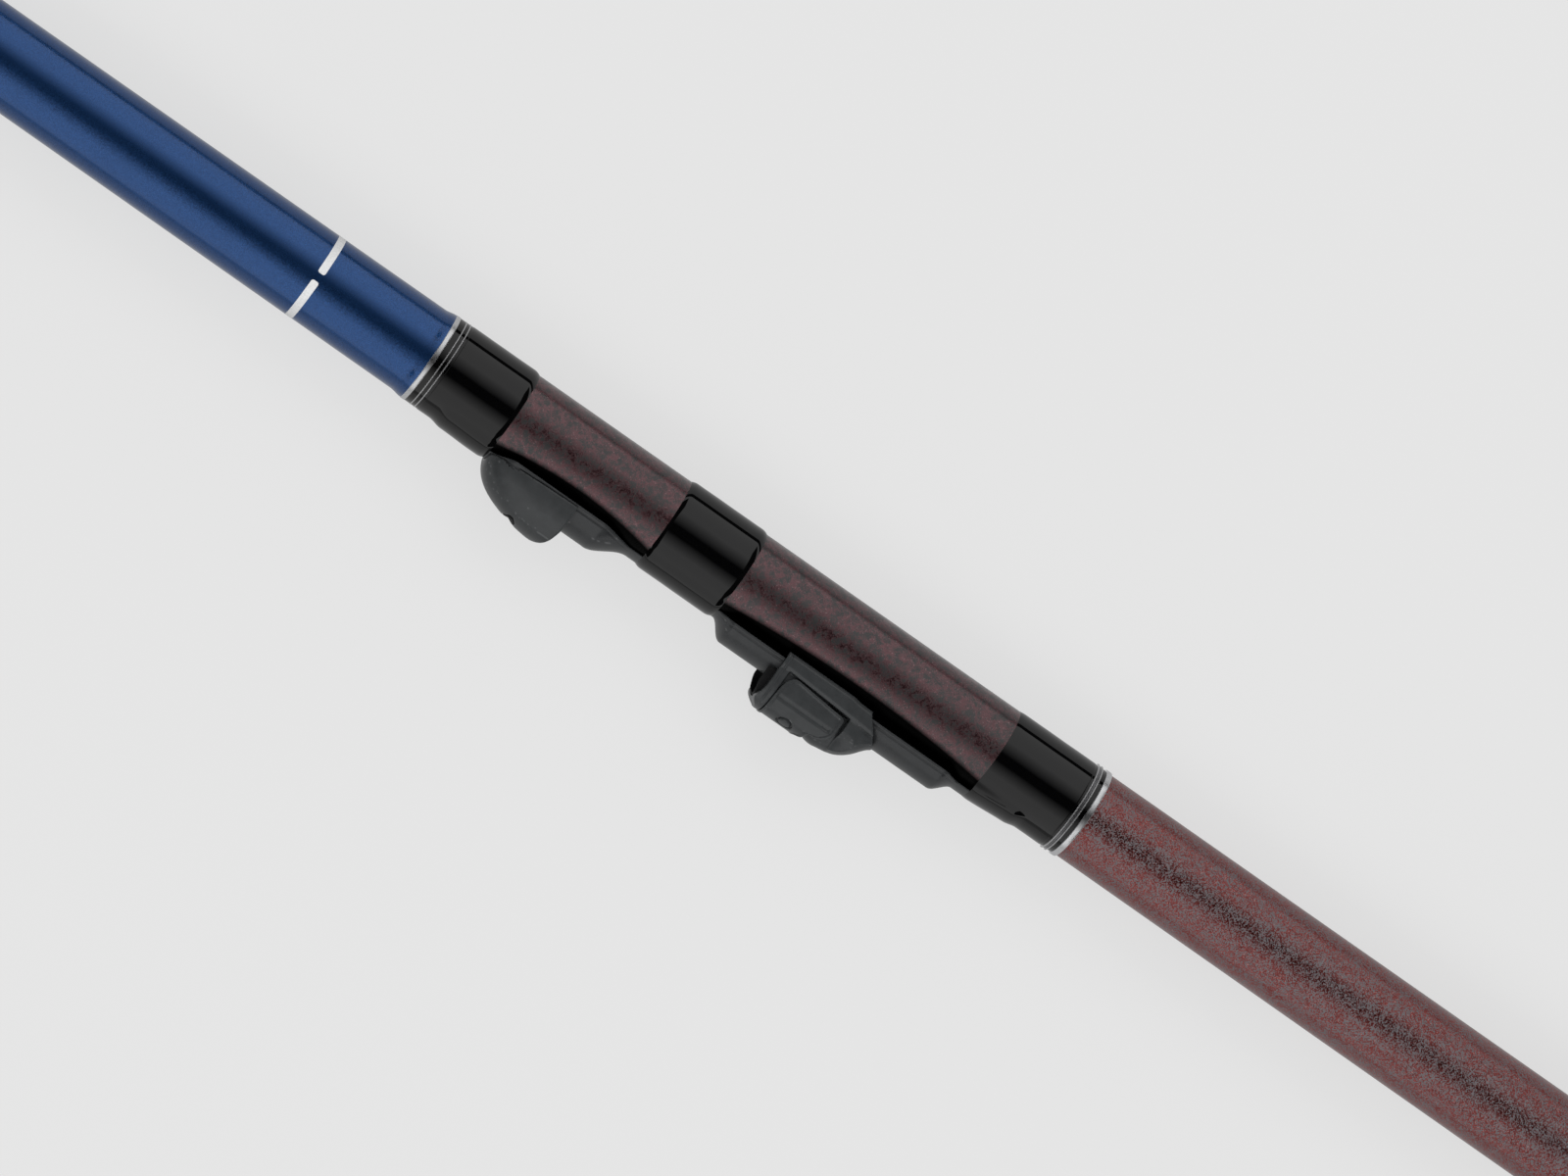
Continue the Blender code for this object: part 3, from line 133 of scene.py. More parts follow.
def make_camera():
    back = Vector((math.sin(VIEW_LEAN), 0.0, math.cos(VIEW_LEAN)))
    along = Vector((math.cos(VIEW_LEAN), 0.0, -math.sin(VIEW_LEAN)))
    across = Vector((0.0, 1.0, 0.0))
    right = -math.cos(ROD_SLOPE) * along - math.sin(ROD_SLOPE) * across
    up = math.sin(ROD_SLOPE) * along - math.cos(ROD_SLOPE) * across
    camera = in_scene("camera", bpy.data.cameras.new("camera"))
    camera.data.lens = LENS
    camera.data.sensor_width = SENSOR
    distance = VIEW_WIDTH * LENS / SENSOR
    turn = Matrix((right, up, back)).transposed().to_4x4()
    camera.matrix_world = Matrix.Translation((VIEW_CENTRE + back * distance) * MM) @ turn
    bpy.context.scene.camera = camera
    return distance


print(f"camera {make_camera() / 1000.0:.2f} m from the rod")

# %% [markdown]
# Shader helpers
#
# A node tree in a script soon becomes hard to read. Small helpers keep it short: one adds a node
# and sets or links its inputs in a single call, others do the same for the nodes used most, and
# one opens a node group with named inputs and outputs. An effect that several finishes share, such
# as thread or flake, is built once as a group and placed in each material with its own values.

# %% Node and group helpers


def add(tree, kind, inputs=None, **settings):
    """Adds a node. An input is linked if its value is a socket, and set if it is a number or colour."""
    node = tree.nodes.new(kind)
    for name, value in settings.items():
        setattr(node, name, value)
    for key, value in (inputs or {}).items():
        if isinstance(value, bpy.types.NodeSocket):
            tree.links.new(value, node.inputs[key])
        else:
            node.inputs[key].default_value = value
    return node


def math_node(tree, operation, *values):
    """The result of one Math node."""
    return add(tree, "ShaderNodeMath", dict(enumerate(values)), operation=operation).outputs[0]


def vector_node(tree, operation, *values):
    """The result of one Vector Math node that works on whole vectors."""
    return add(tree, "ShaderNodeVectorMath", dict(enumerate(values)), operation=operation).outputs[0]


def remap(tree, value, from_low, from_high, to_low=0.0, to_high=1.0):
    """A value moved from one range to another, and kept inside it."""
    sockets = {"Value": value, "From Min": from_low, "From Max": from_high}
    sockets |= {"To Min": to_low, "To Max": to_high}
    return add(tree, "ShaderNodeMapRange", sockets).outputs["Result"]


def blend_colours(tree, share, first, second):
    node = add(tree, "ShaderNodeMix", data_type="RGBA")
    factor, a, b = (node.inputs[i] for i in (0, 6, 7))
    for socket, value in ((factor, share), (a, first), (b, second)):
        if isinstance(value, bpy.types.NodeSocket):
            tree.links.new(value, socket)
        elif isinstance(value, tuple):
            socket.default_value = (*value, 1.0)
        else:
            socket.default_value = value
    return node.outputs[2]


def noise(tree, place, scale, detail=2.0, roughness=0.5):
    """Soft random values from 0 to 1; scale is how many patches there are in one millimetre."""
    sockets = {"Vector": place, "Scale": scale, "Detail": detail, "Roughness": roughness}
    return add(tree, "ShaderNodeTexNoise", sockets).outputs["Fac"]


def open_group(name, inputs, outputs):
    """A new node group, with its input sockets and its output node."""
    tree = bpy.data.node_groups.new(name, "ShaderNodeTree")
    for label, value in inputs.items():
        socket = tree.interface.new_socket(label, in_out="INPUT", socket_type="NodeSocketFloat")
        socket.default_value = value
    for label, kind in outputs.items():
        tree.interface.new_socket(label, in_out="OUTPUT", socket_type=kind)
    return tree, tree.nodes.new("NodeGroupInput").outputs, tree.nodes.new("NodeGroupOutput").inputs


def use(tree, group_name, **inputs):
    """Places a group in a tree and returns its outputs. Input names are written with underscores."""
    node = tree.nodes.new("ShaderNodeGroup")
    node.node_tree = bpy.data.node_groups[group_name]
    for name, value in inputs.items():
        socket = node.inputs[name.replace("_", " ")]
        if isinstance(value, bpy.types.NodeSocket):
            tree.links.new(value, socket)
        else:
            socket.default_value = value
    return node.outputs


def new_finish(name, **shader_values):
    """A material with a Principled shader whose constant values are set on its own sockets."""
    material = bpy.data.materials.new(name)
    material.use_nodes = True
    shader = material.node_tree.nodes["Principled BSDF"]
    for key, value in shader_values.items():
        socket = shader.inputs[key.replace("_", " ")]
        socket.default_value = (*value, 1.0) if isinstance(value, tuple) else value
    return material, material.node_tree, shader.inputs


FLOAT, VECTOR = "NodeSocketFloat", "NodeSocketVector"
print("helpers ready")

# %% [markdown]
# Light and table
#
# Glossy cylinders are lit by what they mirror. In the photograph every part of the rod mirrors the
# same thing: two broad white panels that fade into a dark slot between them, where the camera looks
# through, and a thin dark line low down before the white of the table. So we build that room: a pale
# world, a card above that fades from black to the room's white, and a low strip along each side,
# black on the far side and grey on the hoods' side. A grey card lies between each strip and the
# rod, and a black one at each end darkens the windings' shoulders. Only mirror rays see the cards.

# %% Stage helpers
TABLE_SIZE = 60.0
TABLE_COLOUR = (0.8, 0.8, 0.8)
TABLE_GLOW = 0.78
ROOM_COLOUR = (0.8, 0.8, 0.8, 1.0)
SEEN_LEVEL = 1.0
FILL_LEVEL = 0.8


def seen_directly(tree):
    """1 where the background is seen by the camera, in a mirror or through glass, otherwise 0."""
    path = add(tree, "ShaderNodeLightPath").outputs
    seen = math_node(tree, "MAXIMUM", path["Is Camera Ray"], path["Is Glossy Ray"])
    return math_node(tree, "MAXIMUM", seen, path["Is Transmission Ray"])


def flat_panel(name, corners, material):
    mesh = bpy.data.meshes.new(name)
    mesh.from_pydata(corners, [], [tuple(range(len(corners)))])
    mesh.materials.append(material)
    obj = in_scene(name, mesh)
    return obj


def make_table():
    """A pale table. Part of its white is the same everywhere, so the shadow on it stays light."""
    dull = tuple(value * (1.0 - TABLE_GLOW) for value in TABLE_COLOUR)
    material, tree, shader = new_finish(
        "table_white", Base_Color=dull, Roughness=0.9, Specular_IOR_Level=0.0
    )
    seen = seen_directly(tree)
    shader["Emission Color"].default_value = (*TABLE_COLOUR, 1.0)
    tree.links.new(remap(tree, seen, 0.0, 1.0, 0.0, TABLE_GLOW), shader["Emission Strength"])
    half = TABLE_SIZE / 2.0
    height = cad_box[0].z
    corners = [(-half, -half, height), (half, -half, height), (half, half, height), (-half, half, height)]
    flat_panel("table", corners, material)


make_table()
print(f"table at z = {cad_box[0].z / MM:.2f} mm")

# %% The pale room
# The camera and mirror rays see one level, and the light that fills the shadows is a little stronger.


def make_world():
    world = bpy.data.worlds.new("pale_room")
    bpy.context.scene.world = world
    world.use_nodes = True
    tree = world.node_tree
    seen = seen_directly(tree)
    background = tree.nodes["Background"].inputs
    background["Color"].default_value = ROOM_COLOUR
    tree.links.new(remap(tree, seen, 0.0, 1.0, FILL_LEVEL, SEEN_LEVEL), background["Strength"])


make_world()
bpy.context.scene.view_settings.view_transform = "Standard"
print("room ready")

# %% Cards
# Distances are in metres. Angles are seen from the rod and counted from straight up. Of the two
# sides, 1 is the hoods' side and -1 the far side.
CARD_BLACK = 0.01
SLOT_BLACK = math.radians(10.0)
SLOT_WHITE = math.radians(42.0)
SLOT_HEIGHT = 3.0
LINE_CARD_HEIGHTS = (-0.0107, 0.005)
LINE_CARD_DISTANCE = 0.09
LINE_CARD_LEVELS = {-1.0: CARD_BLACK, 1.0: 0.3}
FLOOR_CARD_START = 0.0115
FLOOR_CARD_LEVEL = 0.43
END_CARD_ANGLES = (math.radians(26.0), math.radians(74.0))
END_CARD_DISTANCE = 1.5
CARD_HALF_LENGTH = 4.0
END_CARD_HALF_WIDTH = 5.0


def faded_black():
    """Black in the middle of the overhead card, and as bright as the room at its sides."""
    material, tree, shader = new_finish("card_faded", Base_Color=(0.0, 0.0, 0.0), Specular_IOR_Level=0.0)
    place = add(tree, "ShaderNodeTexCoord").outputs["Object"]
    side = math_node(tree, "ABSOLUTE", add(tree, "ShaderNodeSeparateXYZ", {0: place}).outputs["Y"])
    angle = math_node(tree, "ARCTANGENT", math_node(tree, "DIVIDE", side, SLOT_HEIGHT))
    shader["Emission Color"].default_value = ROOM_COLOUR
    tree.links.new(remap(tree, angle, SLOT_BLACK, SLOT_WHITE, 0.0, SEEN_LEVEL), shader["Emission Strength"])
    return material


def glowing_grey(name, level):
    """A card that is equally grey from everywhere."""
    material, _, shader = new_finish(name, Base_Color=(0.0, 0.0, 0.0), Specular_IOR_Level=0.0)
    shader["Emission Color"].default_value = (1.0, 1.0, 1.0, 1.0)
    shader["Emission Strength"].default_value = level
    return material


def make_cards():
    black, grey = glowing_grey("card_black", CARD_BLACK), glowing_grey("card_grey", FLOOR_CARD_LEVEL)
    middle = VIEW_CENTRE.x * MM
    ends = (middle - CARD_HALF_LENGTH, middle + CARD_HALF_LENGTH)
    wide = SLOT_HEIGHT * math.tan(SLOT_WHITE)
    overhead = [(ends[0], -wide, SLOT_HEIGHT), (ends[1], -wide, SLOT_HEIGHT),
                (ends[1], wide, SLOT_HEIGHT), (ends[0], wide, SLOT_HEIGHT)]
    cards = [(overhead, faded_black())]
    low, high = LINE_CARD_HEIGHTS
    for sign, level in LINE_CARD_LEVELS.items():
        side, start = sign * LINE_CARD_DISTANCE, sign * FLOOR_CARD_START
        strip = [(ends[0], side, low), (ends[1], side, low), (ends[1], side, high), (ends[0], side, high)]
        cards.append((strip, glowing_grey("card_line", level)))
        floor = [(ends[0], start, low), (ends[1], start, low), (ends[1], side, low), (ends[0], side, low)]
        cards.append((floor, grey))
    high, low = (END_CARD_DISTANCE / math.tan(angle) for angle in END_CARD_ANGLES)
    wide = END_CARD_HALF_WIDTH
    for x in (middle - END_CARD_DISTANCE, middle + END_CARD_DISTANCE):
        cards.append(([(x, -wide, low), (x, wide, low), (x, wide, high), (x, -wide, high)], black))
    for number, (corners, material) in enumerate(cards):
        card = flat_panel(f"card_{number}", corners, material)
        card.visible_camera = card.visible_diffuse = card.visible_shadow = False
    return len(cards)


print(make_cards(), "cards")

# %% Soft lamps
# Two long lamps stand beside the slot. They light the colours but aren't mirrored in the lacquer.
# Each has its angle from straight up and its power in watts.
LAMP_SIZE = (2.4, 0.9)
LAMP_DISTANCE = 2.0
LAMPS = {"lamp_hood_side": (math.radians(40.0), 11.0), "lamp_far_side": (math.radians(-42.0), 8.0)}


def make_lamps():
    for name, (angle, power) in LAMPS.items():
        data = bpy.data.lights.new(name, "AREA")
        data.shape = "RECTANGLE"
        data.size, data.size_y = LAMP_SIZE
        data.energy = power
        lamp = in_scene(name, data)
        lamp.visible_camera = lamp.visible_glossy = False
        aim = Vector((0.0, math.sin(angle), math.cos(angle)))
        lamp.location = VIEW_CENTRE * MM + aim * LAMP_DISTANCE
        lamp.rotation_mode = "QUATERNION"
        lamp.rotation_quaternion = Matrix(
            ((1.0, 0.0, 0.0), aim.cross(Vector((1.0, 0.0, 0.0))), aim)
        ).transposed().to_quaternion()


make_lamps()
print("lamps:", ", ".join(LAMPS))

# %% [markdown]
# Groups: places on the rod
#
# Most patterns on a rod run along it or round it. This group turns the object's own coordinates
# into a distance along the rod in millimetres, a turn round it from -0.5 to 0.5, and a place in
# millimetres for noises. Patterns that repeat a whole number of times in one turn have no seam.

# %% Group: around the rod


def group_around_rod():
    tree, _, out = open_group("AroundRod", {}, {"Along": FLOAT, "Turn": FLOAT, "Place": VECTOR})
    place = add(tree, "ShaderNodeTexCoord").outputs["Object"]
    xyz = add(tree, "ShaderNodeSeparateXYZ", {0: place}).outputs
    angle = math_node(tree, "ARCTAN2", xyz["Z"], xyz["Y"])
    tree.links.new(math_node(tree, "DIVIDE", xyz["X"], MM), out["Along"])
    tree.links.new(math_node(tree, "DIVIDE", angle, math.tau), out["Turn"])
    tree.links.new(vector_node(tree, "MULTIPLY", place, (1.0 / MM,) * 3), out["Place"])


group_around_rod()
print("AroundRod")

# %% [markdown]
# Group: metal flake
#
# The maroon and the blue are lacquers with metal flake. Up close a flake is a tiny mirror lying at
# its own angle. A cell pattern gives each flake a random colour, which we use three ways: a glint
# mask for the few bright flakes, a tone for all of them, and a small tilt of the surface normal.

# %% Group: flake


def group_flake():
    tree, given, out = open_group(
        "MetalFlake",
        {"Flake Size": 0.4, "Glint Share": 0.1, "Tilt": 0.2},
        {"Glint": FLOAT, "Tone": FLOAT, "Normal": VECTOR},
    )
    place = use(tree, "AroundRod")["Place"]
    density = math_node(tree, "DIVIDE", 1.0, given["Flake Size"])
    random = add(tree, "ShaderNodeTexVoronoi", {"Vector": place, "Scale": density}).outputs["Color"]
    value = add(tree, "ShaderNodeSeparateColor", {0: random}).outputs
    edge = math_node(tree, "SUBTRACT", 1.0, given["Glint Share"])
    tree.links.new(remap(tree, value["Red"], edge, 1.0), out["Glint"])
    tree.links.new(value["Green"], out["Tone"])
    centred = vector_node(tree, "SUBTRACT", random, (0.5,) * 3)
    tilt = add(tree, "ShaderNodeVectorMath", {0: centred, "Scale": given["Tilt"]}, operation="SCALE")
    surface = add(tree, "ShaderNodeNewGeometry").outputs["Normal"]
    leaning = vector_node(tree, "ADD", surface, tilt.outputs[0])
    tree.links.new(vector_node(tree, "NORMALIZE", leaning), out["Normal"])


group_flake()
print("MetalFlake")

# %% [markdown]
# Group: crossed tape
#
# Under the seat the blank is wound with two narrow tapes that cross, which shows through the
# lacquer as faint diagonal lines over soft patches. Two waves that climb in opposite directions
# make the lines, and a noise makes the patches and moves the lines, because tape never lies evenly.

# %% Group: crossed tape
LINE_SHARE, PATCH_SHARE = 0.3, 0.8


def group_crossed_tape():
    tree, given, out = open_group(
        "CrossedTape",
        {"Pitch": 2.2, "Starts": 26.0, "Breakup": 1.0},
        {"Mask": FLOAT},
    )
    rod = use(tree, "AroundRod")
    along = math_node(tree, "DIVIDE", rod["Along"], given["Pitch"])
    around = math_node(tree, "MULTIPLY", rod["Turn"], given["Starts"])
    wander = math_node(tree, "MULTIPLY", noise(tree, rod["Place"], 0.35), given["Breakup"])
    waves = []
    for operation in ("ADD", "SUBTRACT"):
        phase = math_node(tree, "ADD", math_node(tree, operation, along, around), wander)
        waves.append(math_node(tree, "SINE", math_node(tree, "MULTIPLY", phase, math.tau)))
    crossed = math_node(tree, "POWER", math_node(tree, "MAXIMUM", *waves), 3.0)
    patches = remap(tree, noise(tree, rod["Place"], 0.5, 4.0, 0.52), 0.36, 0.66)
    soft = math_node(tree, "MULTIPLY", patches, PATCH_SHARE)
    tree.links.new(math_node(tree, "MULTIPLY_ADD", crossed, LINE_SHARE, soft), out["Mask"])


group_crossed_tape()
print("CrossedTape")

# %% [markdown]
# Group: wound thread
#
# Every winding is one thread laid turn beside turn. The height of its surface is a row of half
# circles along the rod. The phase also changes with the turn, so the ridges form a true helix. A
# second mask draws the strands that the thread is twisted from, as slanted lines across it.

# %% Group: wound thread
STRANDS_IN_A_TURN = 90.0


def group_wound_thread():
    tree, given, out = open_group(
        "WoundThread", {"Pitch": 0.3, "Strands": 3.0}, {"Height": FLOAT, "Twist": FLOAT}
    )
    rod = use(tree, "AroundRod")
    phase = math_node(tree, "SUBTRACT", math_node(tree, "DIVIDE", rod["Along"], given["Pitch"]), rod["Turn"])
    across = math_node(tree, "SUBTRACT", math_node(tree, "FRACT", phase), 0.5)
    squared = math_node(tree, "MULTIPLY", math_node(tree, "MULTIPLY", across, across), 4.0)
    tree.links.new(math_node(tree, "SQRT", math_node(tree, "SUBTRACT", 1.0, squared)), out["Height"])
    lay = math_node(tree, "MULTIPLY", across, given["Strands"])
    lay = math_node(tree, "ADD", lay, math_node(tree, "MULTIPLY", rod["Turn"], STRANDS_IN_A_TURN))
    tree.links.new(math_node(tree, "PINGPONG", lay, 0.5), out["Twist"])


group_wound_thread()
print("WoundThread")

# %% [markdown]
# Groups: marks of use, and painted edge highlight and crease shade
#
# No surface is equally smooth all over. Fingers leave faint smudges that change the roughness. The
# smudges are two noises of different size. Edges are painted lighter, as a painted highlight that is
# partly wear, and creases are painted darker, as painted shade. The edge group reads Pointiness,
# which tells how sharply the mesh bends, so it finds the edges by itself, and the creases.

# %% Groups: smudges, moulded grain, and painted edge highlight and crease shade
# Pointiness is 0.5 where the mesh is flat, more on an edge and less in a crease.
CREASE_START, CREASE_FULL = 0.488, 0.43
FINE_SMUDGES, FINE_SMUDGE_SHARE = 9.0, 0.35


def group_smudges():
    tree, given, out = open_group("Smudges", {"Low": 0.1, "High": 0.2, "Size": 6.0}, {"Roughness": FLOAT})
    place = use(tree, "AroundRod")["Place"]
    scale = math_node(tree, "DIVIDE", 1.0, given["Size"])
    fine = noise(tree, place, math_node(tree, "MULTIPLY", scale, FINE_SMUDGES))
    mixed = math_node(tree, "MULTIPLY_ADD", fine, FINE_SMUDGE_SHARE, noise(tree, place, scale, 3.0))
    tree.links.new(remap(tree, mixed, 0.45, 0.95, given["Low"], given["High"]), out["Roughness"])


def group_moulded_grain():
    tree, given, out = open_group("MouldedGrain", {"Size": 0.25}, {"Height": FLOAT})
    place = use(tree, "AroundRod")["Place"]
    scale = math_node(tree, "DIVIDE", 1.0, given["Size"])
    tree.links.new(noise(tree, place, scale), out["Height"])


# Mask paints edges lighter, as a painted highlight that is partly wear; Crease marks creases that are
# painted darker as shade.
def group_edge_light_and_crease_shade():
    tree, given, out = open_group(
        "EdgeLightWearAndCreaseShade", {"Start": 0.512, "Full": 0.58, "Patchiness": 0.5}, {"Mask": FLOAT, "Crease": FLOAT}
    )
    point = add(tree, "ShaderNodeNewGeometry").outputs["Pointiness"]
    place = use(tree, "AroundRod")["Place"]
    edge_breakup = math_node(tree, "MULTIPLY", noise(tree, place, 0.8, 4.0), given["Patchiness"])
    edge = remap(tree, point, given["Start"], given["Full"])
    patch = math_node(tree, "SUBTRACT", 1.0, edge_breakup)
    tree.links.new(math_node(tree, "MULTIPLY", edge, patch), out["Mask"])
    tree.links.new(remap(tree, point, CREASE_FULL, CREASE_START, 1.0, 0.0), out["Crease"])


group_smudges()
group_moulded_grain()
group_edge_light_and_crease_shade()
print("Smudges, MouldedGrain, EdgeLightWearAndCreaseShade")

# %% [markdown]
# Finish: maroon flake lacquer
#
# Behind the seat the blank is a warm maroon with fine sparkle. Metal flakes are red and mirror the
# panels. The plain lacquer between them is a duller grey-brown that looks the same from everywhere,
# so the colour turns neutral where the panels are dark. A clear coat lies over both.

# %% Maroon behind the seat
# How softly a flake passes into the lacquer round it, as a share of the flake group's tone
FLAKE_FADE = 0.15


def smudged(tree, shader, low, high, size):
    """Lets smudges of a size in mm move the roughness between two values."""
    tree.links.new(use(tree, "Smudges", Low=low, High=high, Size=size)["Roughness"], shader["Roughness"])


def raised(tree, shader, height, strength, depth):
    """Tilts the normal as if the surface stood up by a height; its depth is in mm."""
    relief = add(tree, "ShaderNodeBump", {"Height": height, "Strength": strength, "Distance": depth * MM})
    tree.links.new(relief.outputs[0], shader["Normal"])


def metal_share(tree, tone, pattern, low, high, fade=FLAKE_FADE):
    """1 on metal flakes and 0 on the plain lacquer between them. The pattern says how many are metal."""
    share = remap(tree, pattern, 0.0, 1.0, low, high)
    over = math_node(tree, "SUBTRACT", math_node(tree, "ADD", tone, share), 1.0)
    return remap(tree, over, -fade, fade)


def finish_maroon_flake():
    material, tree, shader = new_finish(
        "maroon_flake", Coat_Weight=0.5, Coat_Roughness=0.16, Coat_IOR=1.45, Specular_IOR_Level=0.1
    )
    fine = use(tree, "MetalFlake", Flake_Size=0.19, Glint_Share=0.08, Tilt=0.2)
    streaks = use(tree, "CrossedTape", Pitch=1.1, Starts=58.0, Breakup=1.6)["Mask"]
    metal = metal_share(tree, fine["Tone"], streaks, 0.35, 0.78)
    red = blend_colours(tree, fine["Glint"], (0.3, 0.06, 0.055), (0.52, 0.24, 0.22))
    tree.links.new(metal, shader["Metallic"])
    tree.links.new(blend_colours(tree, metal, (0.15, 0.135, 0.142), red), shader["Base Color"])
    smudged(tree, shader, 0.3, 0.38, 9.0)
    tree.links.new(fine["Normal"], shader["Normal"])
    return material


MAROON_FLAKE = finish_maroon_flake()
print(MAROON_FLAKE.name)

# %% [markdown]
# Finish: maroon over crossed tape
#
# Between the windings the same lacquer lies over wound tape, and it is darker: soft red patches
# on a dark grey ground. The crossed tape group says where the patches are. Beside the plates a
# painted shade turns the lacquer dull black, standing for the plates' shadow and their dark
# reflection, with a soft edge that bows away from each plate.

# %% Maroon between the windings
TAPE_FADE = 0.4

# The height where the painted shade starts at the middle of a plate, how much higher it starts at
# the plate's ends, and how soft its edge is. Then the middle and half length of each shaded stretch.
PLATE_SHADE_EDGE = 4.3
PLATE_SHADE_BOW = 2.0
PLATE_SHADE_FADE = 1.1
SHADED_STRETCHES = ((SEAT_DATUM + 61.0, 33.0), (SEAT_DATUM + 131.0, 19.0))


def painted_plate_shade(tree):
    """1 in the painted shade beside the plates: where the height is above an edge that bows along each
    plate.
    """
    rod = use(tree, "AroundRod")
    height = add(tree, "ShaderNodeSeparateXYZ", {0: rod["Place"]}).outputs["Y"]
    shares = []
    for middle, half in SHADED_STRETCHES:
        away = math_node(tree, "ABSOLUTE", math_node(tree, "SUBTRACT", rod["Along"], middle))
        shares.append(math_node(tree, "DIVIDE", away, half))
    bow = math_node(tree, "POWER", math_node(tree, "MINIMUM", *shares), 2.0)
    edge = math_node(tree, "MULTIPLY_ADD", bow, PLATE_SHADE_BOW, PLATE_SHADE_EDGE)
    past = math_node(tree, "SUBTRACT", height, edge)
    return remap(tree, past, -PLATE_SHADE_FADE / 2.0, PLATE_SHADE_FADE / 2.0)


def finish_maroon_tape():
    material, tree, shader = new_finish(
        "maroon_over_tape", Coat_Roughness=0.2, Coat_IOR=1.5, Specular_IOR_Level=0.1
    )
    plate_shade = painted_plate_shade(tree)
    tape = use(tree, "CrossedTape", Pitch=2.5, Starts=24.0, Breakup=1.5)["Mask"]
    flake = use(tree, "MetalFlake", Flake_Size=0.16, Glint_Share=0.07, Tilt=0.14)
    metal = metal_share(tree, flake["Tone"], tape, -0.1, 1.1, TAPE_FADE)
    red = blend_colours(tree, flake["Glint"], (0.16, 0.068, 0.077), (0.32, 0.2, 0.21))
    colour = blend_colours(tree, metal, (0.03, 0.0305, 0.031), red)
    # Painted shade beside the plates: the lacquer turns near black, fully metallic and without coat,
    # standing for the plates' shadow and their dark reflection.
    tree.links.new(math_node(tree, "MAXIMUM", metal, plate_shade), shader["Metallic"])
    tree.links.new(blend_colours(tree, plate_shade, colour, (0.002, 0.002, 0.002)), shader["Base Color"])
    tree.links.new(remap(tree, plate_shade, 0.0, 1.0, 0.9, 0.0), shader["Coat Weight"])
    smudged(tree, shader, 0.3, 0.38, 8.0)
    tree.links.new(flake["Normal"], shader["Normal"])
    return material


MAROON_TAPE = finish_maroon_tape()
print(MAROON_TAPE.name)

# %% [markdown]
# Finish: blue lacquer
#
# Ahead of the seat the blank is a smooth metallic blue. Its flake is too fine to see one by one, so
# it only gives the colour depth: brighter where a panel is mirrored and navy in the dark slot.

# %% Blue ahead of the seat


def finish_blue(name, deep, bright):
    material, tree, shader = new_finish(
        name, Metallic=0.85, Coat_Weight=0.7, Coat_Roughness=0.03, Coat_IOR=1.4
    )
    fine = use(tree, "MetalFlake", Flake_Size=0.14, Glint_Share=0.25, Tilt=0.1)
    colour = blend_colours(tree, fine["Tone"], deep, bright)
    tree.links.new(colour, shader["Base Color"])
    smudged(tree, shader, 0.24, 0.32, 14.0)
    tree.links.new(fine["Normal"], shader["Normal"])
    return material


BLUE = finish_blue("blue_lacquer", (0.016, 0.062, 0.195), (0.03, 0.105, 0.315))
SECTION_BLUE = finish_blue("section_blue_lacquer", (0.014, 0.05, 0.15), (0.024, 0.08, 0.24))
print(BLUE.name, SECTION_BLUE.name)

# %% [markdown]
# Finish: white print, silver band and silver thread
#
# The printed ring is flat ink under the coat. The two bands are polished metal foil, and the
# accents beside them are a metallic thread, whose turns break the light into short dashes.

# %% Print, band and thread


def finish_print():
    material, tree, shader = new_finish("white_print", Coat_Weight=0.6, Coat_Roughness=0.05, Coat_IOR=1.4)
    place = use(tree, "AroundRod")["Place"]
    ink = remap(tree, noise(tree, place, 3.0, 3.0), 0.35, 0.6)
    colour = blend_colours(tree, ink, (0.78, 0.79, 0.8), (0.9, 0.9, 0.9))
    tree.links.new(colour, shader["Base Color"])
    smudged(tree, shader, 0.35, 0.45, 3.0)
    return material


def finish_silver():
    material, tree, shader = new_finish("silver_foil", Metallic=1.0)
    place = use(tree, "AroundRod")["Place"]
    lines = noise(tree, vector_node(tree, "MULTIPLY", place, (12.0, 0.6, 0.6)), 1.0, 3.0)
    colour = blend_colours(tree, lines, (0.74, 0.75, 0.77), (0.93, 0.93, 0.94))
    tree.links.new(colour, shader["Base Color"])
    smudged(tree, shader, 0.24, 0.34, 2.0)
    return material


def finish_silver_thread(name, dark, bright):
    material, tree, shader = new_finish(
        name, Metallic=0.9, Coat_Weight=0.6, Coat_Roughness=0.04, Coat_IOR=1.42
    )
    thread = use(tree, "WoundThread", Pitch=0.36, Strands=3.0)
    colour = blend_colours(tree, thread["Twist"], dark, bright)
    tree.links.new(colour, shader["Base Color"])
    smudged(tree, shader, 0.22, 0.42, 1.2)
    raised(tree, shader, thread["Twist"], 0.5, 0.05)
    return material


WHITE_PRINT = finish_print()
SILVER = finish_silver()
SILVER_THREAD = finish_silver_thread("silver_thread", (0.12, 0.12, 0.125), (0.6, 0.6, 0.62))
LINE_THREAD = finish_silver_thread("bright_thread", (0.5, 0.5, 0.51), (0.93, 0.93, 0.94))
print(WHITE_PRINT.name, SILVER.name, SILVER_THREAD.name, LINE_THREAD.name)

# %% [markdown]
# Finish: glossed winding
#
# The windings are black thread filled with several coats of rod varnish, so they read as black glass
# with the thread just visible under it. The ridges go in the base layer's normal, and the clear coat
# stays smooth. Roughness varies a little because varnish collects dust while it cures.

# %% Glossed black winding


